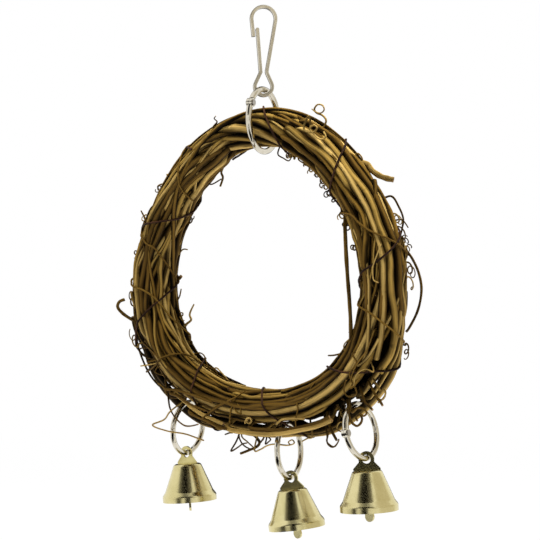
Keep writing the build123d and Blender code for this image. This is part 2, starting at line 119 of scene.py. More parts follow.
class Graph:
    """Node tree of one material or world, with one method that makes any node."""

    def __init__(self, name: str, home: Any = None) -> None:
        """Start an empty tree in a new material, or in new data of another home such as the worlds."""
        self.owner = (bpy.data.materials if home is None else home).new(name)
        self.owner.use_nodes = True
        self.tree = self.owner.node_tree
        self.tree.nodes.clear()

    def node(self, kind: str, settings: dict[str, Any] | None = None, inputs: dict[Any, Any] | None = None,
             output: int | str = 0) -> Term:
        """Add a node.

        Args:
            kind: type name of the node.
            settings: properties, set first; "stops" are a ramp's places and colours.
            inputs: values or terms by socket name or number.
            output: number or name of the output that the term takes.

        Returns:
            The term of that output.
        """
        made = self.tree.nodes.new(kind)
        for key, value in (settings or {}).items():
            if key == "stops":
                ramp = made.color_ramp.elements
                while len(ramp) < len(value):
                    ramp.new(0.5)
                for element, (place, colour) in zip(ramp, value):
                    element.position = place
                    element.color = colour
            else:
                setattr(made, key, value)
        for key, value in (inputs or {}).items():
            if isinstance(value, Term):
                self.tree.links.new(value.socket, made.inputs[key])
            else:
                made.inputs[key].default_value = value
        return Term(self, made.outputs[output] if made.outputs else None)

    def mix(self, factor: Any, first: Any, second: Any) -> Term:
        """Mix two colours by a factor."""
        return self.node("ShaderNodeMix", {"data_type": "RGBA"}, {0: factor, 6: first, 7: second}, 2)

    def scaled(self, vector: Term, scale: Sequence[float]) -> Term:
        """Multiply a vector by plain numbers, part by part."""
        return self.node("ShaderNodeVectorMath", {"operation": "MULTIPLY"}, {0: vector, 1: tuple(scale)})

    def noise(self, vector: Term, scale: float = 1.0, detail: float = 3.0, roughness: float = 0.55) -> Term:
        """Soft noise between 0 and 1."""
        return self.node("ShaderNodeTexNoise", None,
                         {"Vector": vector, "Scale": scale, "Detail": detail, "Roughness": roughness})

    def grain(self, place: Term, along: float, across: float, detail: float) -> Term:
        """Noise drawn out along a strand, by its scales along and across it."""
        return self.noise(self.scaled(place, (along, across, across)), detail=detail)

    def bump(self, height: Term, distance: float, strength: float) -> Term:
        """Bump normal from a height."""
        inputs = {"Height": height, "Distance": distance, "Strength": strength}
        return self.node("ShaderNodeBump", None, inputs)

    def ray(self, kind: str) -> Term:
        """1 for rays of one kind, 0 for others."""
        return self.node("ShaderNodeLightPath", None, None, kind)

    def finish(self, inputs: dict[str, Any]) -> bpy.types.Material:
        """Close the tree with a Principled shader.

        Args:
            inputs: values or terms of the shader's sockets.

        Returns:
            The finished material.
        """
        shader = self.node("ShaderNodeBsdfPrincipled", None, inputs)
        self.node("ShaderNodeOutputMaterial", None, {"Surface": shader})
        return self.owner


@dataclass(frozen=True)
class BarkFinish:
    """Dry vine bark: streaks along the strand, tone patches, dark cracks, with painted shade on each strand's
    side towards the bundle's centre and a painted highlight along its crest.
    """

    name: str
    light: Colour
    middle: Colour
    dark: Colour
    patch_scale: float = 28.0
    streak_scale: float = 900.0
    relief: float = 0.00025

    def material(self) -> bpy.types.Material:
        """Make the bark material, which reads the strand's own straightened place and its painted shade."""
        graph = Graph(self.name)
        place = graph.node("ShaderNodeAttribute", {"attribute_name": "strand"}, None, "Vector")
        streaks = graph.grain(place, along=55.0, across=self.streak_scale, detail=4.0)
        fibres = graph.grain(place, along=90.0, across=3800.0, detail=2.0)
        patches = graph.grain(place, along=self.patch_scale, across=130.0, detail=3.0)
        rings = graph.grain(place, along=420.0, across=160.0, detail=2.0)
        crack = graph.grain(place, along=34.0, across=900.0, detail=3.0).band(0.42, 0.36)
        season = graph.grain(place, along=9.0, across=0.0, detail=1.0)
        paleness = patches.band(0.40, 0.66) * 0.35 + season.band(0.44, 0.64) * 0.4
        tone = graph.mix(paleness, self.middle, self.light)
        tone = graph.mix(streaks.band(0.54, 0.30) * 0.7, tone, self.dark)
        tone = graph.mix(fibres.band(0.56, 0.72) * 0.25, tone, self.light)
        tone = graph.mix(rings.band(0.60, 0.72) * 0.45, tone, self.dark)
        tone = graph.mix(crack * 0.8, tone, self.dark)
        groove = graph.node("ShaderNodeAttribute", {"attribute_name": "groove"}, None, "Fac")
        # Painted highlight: the crest of each strand, away from its painted shade, is lightened towards the
        # light tone.
        tone = graph.mix((1.0 - groove) ** 5.0 * 0.5, tone, self.light)
        # Painted shade: the side towards the bundle's centre is darkened towards a near-black brown, standing
        # in for the shade between the strands.
        tone = graph.mix(groove * 0.96, tone, graph.mix(0.8, self.dark, rgb(0.03, 0.018, 0.004)))
        height = streaks * 0.7 + fibres * 0.25 + rings * 0.2 - crack * 0.5
        return graph.finish({
            "Base Color": tone,
            "Roughness": 0.5 + streaks * 0.3,
            "Specular IOR Level": 0.06,
            "Normal": graph.bump(height, self.relief, 0.8),
        })


@dataclass(frozen=True)
class CutFinish:
    """Cut vine end: pale wood with darker grain."""

    name: str = "cut_wood"

    def material(self) -> bpy.types.Material:
        """Make the cut-end material."""
        graph = Graph(self.name)
        place = graph.node("ShaderNodeTexCoord", None, None, "Object")
        grain = graph.noise(place, 2400.0, 3.0)
        tone = graph.mix(grain.band(0.35, 0.65), rgb(0.46, 0.33, 0.17), rgb(0.68, 0.53, 0.32))
        return graph.finish({
            "Base Color": tone,
            "Roughness": 0.7 + grain * 0.2,
            "Normal": graph.bump(grain, 0.0002, 0.6),
        })


@dataclass(frozen=True)
class MetalFinish:
    """Plated metal: small changes of tone, fine marks and light wear."""

    name: str
    colour: Colour
    worn: Colour
    roughness: float
    mark_scale: tuple[float, float, float]
    mark_depth: float = 0.00002

    def material(self) -> bpy.types.Material:
        """Make the metal material in object coordinates."""
        graph = Graph(self.name)
        place = graph.node("ShaderNodeTexCoord", None, None, "Object")
        marks = graph.noise(graph.scaled(place, self.mark_scale), detail=3.0)
        cloud = graph.noise(place, 130.0, 3.0)
        pits = graph.noise(place, 1700.0, 2.0).band(0.66, 0.74)
        tone = graph.mix(cloud.band(0.35, 0.7) * 0.5 + pits * 0.35, self.colour, self.worn)
        return graph.finish({
            "Base Color": tone,
            "Metallic": 1.0,
            "Roughness": self.roughness + marks * 0.10 + cloud.band(0.45, 0.75) * 0.07,
            "Normal": graph.bump(marks + pits * 0.6, self.mark_depth, 0.25),
        })


@dataclass(frozen=True)
class CoatedWireFinish:
    """Dark brown coated binding wire."""

    name: str = "coated_wire"

    def material(self) -> bpy.types.Material:
        """Make the coated-wire material along the wire."""
        graph = Graph(self.name)
        place = graph.node("ShaderNodeAttribute", {"attribute_name": "strand"}, None, "Vector")
        rub = graph.grain(place, along=90.0, across=900.0, detail=3.0)
        tone = graph.mix(rub.band(0.4, 0.68), rgb(0.13, 0.075, 0.045), rgb(0.28, 0.18, 0.11))
        return graph.finish({
            "Base Color": tone,
            "Roughness": 0.45 + rub * 0.3,
            "Specular IOR Level": 0.12,
            "Normal": graph.bump(rub, 0.0001, 0.4),
        })


@dataclass(frozen=True)
class WreathLay:
    """How the strands lie in the wreath, in millimetres and degrees, as in the solids."""

    centre_z: float = -111.98692
    bundle_radius: float = 62.6
    widen: float = 2.6
    sag: float = 3.4
    lay_radius: float = 4.25 / (2.0 * math.sin(math.pi / 9.0))
    core_radius: float = 2.1131
    thick_radius: float = 2.1
    slots: int = 9
    twist: float = 360.0 * (1.0 + 4.0 / 9.0)
    core_twist: float = 480.0
    axial_share: float = 1.5
    radial_share: float = 1.1
    flat_half: float = 50.0
    flat_share: float = 0.72
    ramp_share: float = 0.2
    carrier_push: float = 6.1
    side_push: float = 3.5
    side_start: float = 12.0
    side_reach: float = 18.0
    carrier_window: float = 24.0
    spread_start: float = 18.0
    spread_reach: float = 80.0
    fade_end: float = 86.0
    fade_reach: float = 34.0
    rings: tuple[float, float, float] = (-34.0, 10.9, 40.0)
    ring_near: float = 4.0
    ring_fade: float = 8.0
    front_least: float = 0.05

    def lay_share(self, theta: float) -> float:
        """Share of one turn's twist laid in by an angle from the bottom."""
        run = min(max((theta - self.flat_half) / (360.0 - 2.0 * self.flat_half), 0.0), 1.0)
        ramp = self.ramp_share
        pace = 1.0 / (1.0 - ramp)
        if run < ramp:
            return pace * run * run / (2.0 * ramp)
        if run > 1.0 - ramp:
            return 1.0 - pace * (1.0 - run) ** 2 / (2.0 * ramp)
        return pace * (run - ramp / 2.0)

    def laid(self, tau: float, twist: float) -> float:
        """Twist laid in along a strand that has run tau degrees."""
        turns = math.floor(tau / 360.0)
        return twist * (turns + self.lay_share(tau - turns * 360.0))

    def spread(self, theta: float) -> float:
        """0 in the tight top of the wreath, 1 where it is spread."""
        return ease((abs(theta % 360.0 - 180.0) - self.spread_start) / self.spread_reach)

    def calm(self, theta: float) -> float:
        """0 where a small ring hangs, 1 away from it."""
        away = min(abs((theta - ring + 180.0) % 360.0 - 180.0) for ring in self.rings)
        return ease((away - self.ring_near) / self.ring_fade)

    def offset(self, theta: float, rho: float, alpha: float) -> tuple[float, float]:
        """Radial and axial place of a strand in the bundle.

        Args:
            theta: angle from the bottom of the wreath.
            rho: distance from the bundle's centre before it spreads.
            alpha: angle round the bundle, 0 outwards.

        Returns:
            Radial and axial offset.
        """
        from_bottom = 180.0 - abs(theta % 360.0 - 180.0)
        spread = self.spread(theta)
        low = ease((self.fade_end - from_bottom) / self.fade_reach)
        cosine = math.cos(math.radians(alpha))
        axial = rho * math.sin(math.radians(alpha)) * (1.0 + (self.axial_share - 1.0) * spread)
        radial = rho * cosine * (1.0 + (self.radial_share - 1.0) * spread * (1.0 - low))
        radial *= 1.0 - (1.0 - self.flat_share) * low * ease(cosine / (2.0 * self.ramp_share) + 0.5)
        turned = (alpha + 180.0) % 360.0 - 180.0
        push = self.carrier_push + self.side_push * ease((from_bottom - self.side_start) / self.side_reach)
        radial += push * low * math.exp(-((turned / self.carrier_window) ** 2)) * rho / self.lay_radius
        return radial, axial

    def centre_reach(self, angle: float) -> float:
        """Distance from the wreath's middle to the bundle's centre line, at an angle in radians."""
        side = math.sin(angle) ** 2
        sag = self.sag * side * math.cos(angle) * 1.5 * math.sqrt(3.0)
        return self.bundle_radius + self.widen * side + sag

    def point(self, theta: float, radial: float, axial: float) -> Vector:
        """Place in metres of an offset in the bundle."""
        angle = math.radians(theta)
        reach = self.centre_reach(angle) + radial
        return Vector((reach * math.sin(angle), axial, self.centre_z - reach * math.cos(angle))) * MM

    def around(self, theta: float, alpha: float, reach: float) -> Vector:
        """Place in metres at a distance from the bundle's centre, in a direction round it."""
        angle = math.radians(alpha)
        return self.point(theta, reach * math.cos(angle), reach * math.sin(angle))

    def outward(self, place: Vector) -> Vector:
        """Direction from the bundle's centre line to a place in metres."""
        theta = math.degrees(math.atan2(place.x, self.centre_z * MM - place.z))
        return (place - self.point(theta, 0.0, 0.0)).normalized()

    def oval(self, theta: float, alpha: float, stand_off: float) -> tuple[float, float]:
        """Offset on the oval that clears the outer strands by a distance."""
        outer = self.offset(theta, self.lay_radius, 0.0)[0]
        inner = -self.offset(theta, self.lay_radius, 180.0)[0]
        side = self.offset(theta, self.lay_radius, 90.0)[1]
        cosine = math.cos(math.radians(alpha))
        reach = outer if cosine > 0.0 else inner
        return (reach + stand_off) * cosine, (side + stand_off) * math.sin(math.radians(alpha))

    def front(self, theta: float, radial: float, stand_off: float) -> float:
        """Axial place of that oval's front at a radial offset."""
        reach = self.oval(theta, 0.0 if radial > 0.0 else 180.0, stand_off)[0]
        side = self.oval(theta, 90.0, stand_off)[1]
        return -side * math.sqrt(max(self.front_least, 1.0 - (radial / reach) ** 2))


class Run(Enum):
    """How a strand runs through the bundle."""

    OUTER = "outer"
    CORE = "core"
    FILLER = "filler"
    RUNNER = "runner"
    CROSS = "cross"
    OVER = "over"


@dataclass(frozen=True)
class Waver:
    """Soft noise along a run: its size, the length of its waves and its layer of the noise."""

    size: float
    length: float
    layer: float

    def at(self, run: float, seed: float, share: float = 1.0) -> float:
        """Value at a place of the run, with a share of the size."""
        return self.size * share * noise.noise((run / self.length, seed, self.layer))


# Turning round the bundle and wandering in it, over degrees of the wreath
RUNNER_TURN = Waver(16.0, 38.0, 7.0)
CROSS_TURN = Waver(18.0, 20.0, 7.0)
SLOW_WANDER = Waver(1.0, 17.0, 0.0)
QUICK_WANDER = Waver(0.3, 5.0, 3.0)
AXIAL_WANDER = Waver(1.5, 21.0, 50.0)

# Swelling as a share of the radius: over millimetres of a strand, points of a shoot or wrap, and
# the waves of a tendril from root to tip
VINE_SWELL = Waver(0.09, 35.0, 20.0)
SHOOT_SWELL = Waver(0.12, 6.0, 4.0)
WRAP_SWELL = Waver(0.15, 9.0, 8.0)
TENDRIL_SWELL = Waver(0.15, 1.0, 8.0)
TENDRIL_WAVES = 9.0
# Lift of a wrap in millimetres, over its points
WRAP_LIFT = Waver(0.4, 7.0, 2.0)

# Beds between the vines: shares of a vine's radius, share of a filler's own radius and its set-back
RUNNER_BED, CROSS_BED = 0.8, 0.75
FILLER_BED, FILLER_BACK = 1.4, 0.6
# Depth that ends tuck in, how many times deeper over the band, and the core's place
TUCK_DEPTH, OVER_TUCK = 2.4, 1.6
CORE_PHASE = 60.0
# Share of the wander where the band is tight and what spreading adds, then by a ring and away from it
TIGHT_SLACK, SPREAD_SLACK = 0.35, 0.9
RING_SLACK, FREE_SLACK = 0.2, 0.8

# Knots in millimetres along a strand, their sizes, and the taper of its last part
FIRST_KNOT, NEXT_KNOT, KNOT_SIZES = (20.0, 60.0), (48.0, 95.0), (0.5, 1.3)
KNOT_FREE_END, KNOT_HALF = 10.0, 2.4
TAPER, TAPER_START = 0.18, 0.75


def run_lengths(line: Sequence[Vector], unit: float = 1.0) -> list[float]:
    """Length from the start of a line to each point, in a unit of so many metres."""
    along = [0.0]
    for before, after in zip(line, line[1:]):
        along.append(along[-1] + (after - before).length / unit)
    return along


@dataclass
class Strand:
    """One vine, runner or filler of the wreath."""

    name: str
    run: Run
    span: tuple[float, float]
    radius: float
    seed: int
    phase: float = 0.0
    flares: tuple[float, float] = (0.0, 0.0)
    flare_reach: float = 13.0
    wander: float = 0.45
    knots: float = 0.16
    pace: float = 0.0
    tuck: float = 9.0
    stand: float = 1.15
    lay: WreathLay = field(default_factory=WreathLay)

    def alpha(self, tau: float) -> float:
        """Angle round the bundle after tau degrees."""
        if self.run is Run.RUNNER:
            turn = RUNNER_TURN.at(tau, self.seed) * self.lay.spread(tau)
            return 180.0 + self.phase - self.lay.laid(tau, 360.0) + turn
        if self.run in (Run.CROSS, Run.OVER):
            return self.phase + self.pace * (tau - self.span[0]) + CROSS_TURN.at(tau, self.seed)
        if self.run is Run.CORE:
            return CORE_PHASE + self.lay.laid(tau, self.lay.core_twist)
        return self.phase + self.lay.laid(tau, self.lay.twist)

    def offsets(self, tau: float) -> tuple[float, float]:
        """Radial and axial offset after tau degrees, with the strand's own wander."""
        lay = self.lay
        alpha = self.alpha(tau)
        start, end = self.span
        dip = TUCK_DEPTH * max(ease((start - tau) / self.tuck + 1.0), ease((tau - end) / self.tuck + 1.0))
        if self.run is Run.RUNNER:
            radial, axial = lay.oval(tau, alpha, lay.thick_radius * RUNNER_BED + self.radius)
        elif self.run is Run.CROSS:
            bed = lay.thick_radius * CROSS_BED + self.radius
            radial, axial = lay.oval(tau, alpha, bed - OVER_TUCK * dip)
        elif self.run is Run.OVER:
            radial, axial = lay.oval(tau, alpha, self.stand - OVER_TUCK * dip)
        elif self.run is Run.CORE:
            radial, axial = lay.offset(tau, lay.core_radius, alpha)
        elif self.run is Run.FILLER:
            bed = lay.lay_radius + FILLER_BED * self.radius - FILLER_BACK
            radial, axial = lay.offset(tau, bed - dip, alpha)
        else:
            flare = self.flares[0] * ease((start + self.flare_reach - tau) / self.flare_reach)
            flare += self.flares[1] * ease((tau - end + self.flare_reach) / self.flare_reach)
            radial, axial = lay.offset(tau, lay.lay_radius + flare, alpha)
        slack = self.wander * (TIGHT_SLACK + SPREAD_SLACK * lay.spread(tau))
        slack *= RING_SLACK + FREE_SLACK * lay.calm(tau)
        radial += SLOW_WANDER.at(tau, self.seed, slack) + QUICK_WANDER.at(tau, self.seed, slack)
        axial += AXIAL_WANDER.at(tau, self.seed, slack)
        return radial, axial

    def sections(self, theta: float) -> list[tuple[float, float, float]]:
        """Offsets and radius of every pass of the strand at an angle of the wreath."""
        first = math.ceil((self.span[0] - theta) / 360.0)
        last = math.floor((self.span[1] - theta) / 360.0)
        return [(*self.offsets(theta + 360.0 * turn), self.radius) for turn in range(first, last + 1)]

    def line(self, step: float = 1.3) -> list[Vector]:
        """Centre line in metres, one point every step degrees or so."""
        count = max(8, round((self.span[1] - self.span[0]) / step))
        taus = [self.span[0] + (self.span[1] - self.span[0]) * i / count for i in range(count + 1)]
        return [self.lay.point(tau, *self.offsets(tau)) for tau in taus]

    def radii(self, line: Sequence[Vector]) -> list[float]:
        """Radius in metres at each point: taper, slow swelling and knots."""
        along = run_lengths(line, MM)
        rng = random.Random(self.seed)
        places = []
        place = rng.uniform(*FIRST_KNOT)
        while place < along[-1] - KNOT_FREE_END:
            places.append((place, rng.uniform(*KNOT_SIZES)))
            place += rng.uniform(*NEXT_KNOT)
        values = []
        for run in along:
            share = 1.0 + VINE_SWELL.at(run, self.seed)
            for knot, size in places:
                share += self.knots * size * math.exp(-(((run - knot) / KNOT_HALF) ** 2))
            share *= 1.0 - TAPER * ease((run / along[-1] - TAPER_START) / (1.0 - TAPER_START))
            values.append(self.radius * MM * share)
        return values


@dataclass(frozen=True)
class Bed:
    """Strands side by side along the front of the band."""

    side: float
    starts: tuple[float, float]
    ends: tuple[float, float]
    count: int
    step: float
    radii: tuple[float, float]
    seed: int
    wander: float
    pace: float
    stands: tuple[float, float]
    tuck: float = 9.0

    def strand(self, rng: random.Random, row: int, number: int) -> Strand:
        """Lay one strand of the bed.

        Args:
            rng: source of the strand's own differences.
            row: place of the strand in the bed.
            number: count of the thin strands before it.

        Returns:
            The strand.
        """
        span = (rng.uniform(*self.starts), rng.uniform(*self.ends))
        phase = self.side + self.step * row + rng.uniform(-8.0, 8.0)
        radius = rng.uniform(*self.radii)
        pace = rng.uniform(-self.pace, self.pace)
        stand = rng.uniform(*self.stands)
        return Strand("over", Run.OVER, span, radius, self.seed + number, phase, wander=self.wander,
                      pace=pace, tuck=self.tuck, stand=stand)


# Beds along the right and left of the band, then close to the top ring on either side
ALONG = {"count": 8, "step": 17.0, "radii": (1.1, 1.75), "seed": 600,
         "wander": 0.9, "pace": 0.22, "stands": (1.7, 2.2)}
BY_RING = {"count": 6, "step": 22.0, "radii": (1.0, 1.5), "seed": 700,
           "wander": 0.7, "pace": 0.25, "stands": (1.6, 2.1), "tuck": 5.5}
BEDS = (
    Bed(-108.0, (50.0, 84.0), (140.0, 168.0), **ALONG),
    Bed(176.0, (192.0, 216.0), (276.0, 318.0), **ALONG),
    Bed(205.0, (104.0, 126.0), (166.0, 168.5), **BY_RING),
    Bed(196.0, (191.5, 194.0), (232.0, 262.0), **BY_RING),
)

# Strands in the gap over the lowest vine: spans between the hung rings, then side and radius
GAP_SPANS = ((-84.0, -37.9), (-30.1, 7.2), (14.6, 36.2), (43.8, 86.0))
GAP_STRANDS = ((-21.0, 1.25), (20.0, 1.1), (4.0, 0.8), (-36.0, 1.1), (34.0, 1.2), (-11.0, 0.9), (12.0, 1.0))

# Shoots: radius, side of the bundle, then angle and rise of each point
SHOOTS: dict[str, tuple[float, float, list[tuple[float, float]]]] = {
    "upper": (1.25, 30.0, [(132.0, -1.2), (130.0, 0.0), (127.0, 0.1), (124.0, 1.6), (121.8, 3.8),
        (120.6, 5.6)]),
    "hook": (0.75, -50.0, [(290.6, -4.2), (290.0, -3.2), (287.6, 1.3), (285.0, 5.0), (283.0, 6.6),
        (281.4, 5.6), (280.9, 3.2)]),
    "bow": (0.55, 45.0, [(99.0, -1.2), (97.0, 0.0), (93.0, 2.4), (88.0, 4.4), (83.0, 5.0), (77.0, 3.4),
        (71.0, 0.0), (69.5, -1.2)]),
    "inner": (0.85, 225.0, [(116.0, -2.0), (114.0, -1.0), (107.0, 1.6), (97.0, 3.8), (87.0, 4.6),
        (77.0, 3.8), (68.0, 1.6), (60.0, -1.4), (58.0, -2.4)]),
}

Row = tuple[float, float, float]


@dataclass(frozen=True)
class PhotoView:
    """The photograph's view, in degrees, millimetres and pixels."""

    azimuth: float = 39.0
    distance: float = 724.0
    centre_z: float = -112.4
    focal_pixels: float = 1618.0
    middle: tuple[float, float] = (264.0, 270.0)

    def place(self, lay: WreathLay, across: float, down: float, depth: float) -> Row:
        """Find what a pixel of the photograph shows at a depth.

        Args:
            lay: lay of the wreath.
            across: pixels from the left.
            down: pixels from the top.
            depth: place along the wreath's axis.

        Returns:
            Angle of the wreath, radial offset and depth.
        """
        cosine, sine = math.cos(math.radians(self.azimuth)), math.sin(math.radians(self.azimuth))
        right = (across - self.middle[0]) / self.focal_pixels
        below = (down - self.middle[1]) / self.focal_pixels
        x = (right * (self.distance + depth * cosine) - depth * sine) / (cosine + right * sine)
        z = self.centre_z - below * (self.distance - x * sine + depth * cosine)
        angle = math.atan2(x, lay.centre_z - z)
        return math.degrees(angle), math.hypot(x, z - lay.centre_z) - lay.centre_reach(angle), depth


VIEW = PhotoView()


@dataclass(frozen=True)
class Zoom:
    """A window of the photograph: its corner in pixels, its scale, and where it starts to count angles."""

    left: float
    top: float
    scale: float
    seam: float = 0.0


WHOLE = Zoom(0.0, 0.0, 1.0, seam=-180.0)
TOP_LEFT = Zoom(110.0, 90.0, 9.22)
TOP_RIGHT = Zoom(270.0, 90.0, 9.8)
LOW_LEFT = Zoom(120.0, 230.0, 7.127)
LOW_RIGHT = Zoom(270.0, 230.0, 7.127)


@dataclass(frozen=True)
class Trace:
    """A tendril picked on a zoom of the photograph, from root to tip, in pixels and millimetres.

    A point's third value is its own depth. Without one, depths run evenly from root to tip.
    """

    zoom: Zoom
    radii: tuple[float, float]
    points: tuple[tuple[float, ...], ...]
    depths: tuple[float, float] = (0.0, 0.0)
    on_front: bool = False
    sink: float = 0.0
    front_bed: float = 0.9
    front_tries: int = 6

    def rows(self, lay: WreathLay) -> list[Row]:
        """Angle, radial and axial offset of each point, to a tenth."""
        root, tip = self.depths
        seam = self.zoom.seam
        rows = []
        for i, (across, down, *own) in enumerate(self.points):
            depth = own[0] if own else root + (tip - root) * i / (len(self.points) - 1)
            pixel = (self.zoom.left + across / self.zoom.scale, self.zoom.top + down / self.zoom.scale)
            for _ in range(self.front_tries if self.on_front else 0):
                angle, radial, _ = (round(value, 1) for value in VIEW.place(lay, *pixel, depth))
                depth = lay.front(angle, radial, lay.thick_radius * self.front_bed + sum(self.radii) / 2.0)
            angle, radial, _ = VIEW.place(lay, *pixel, depth)
            angle = (angle - seam) % 360.0 + seam
            rows.append((round(angle, 1), round(round(radial, 1) - self.sink, 1), round(depth, 1)))
        return rows


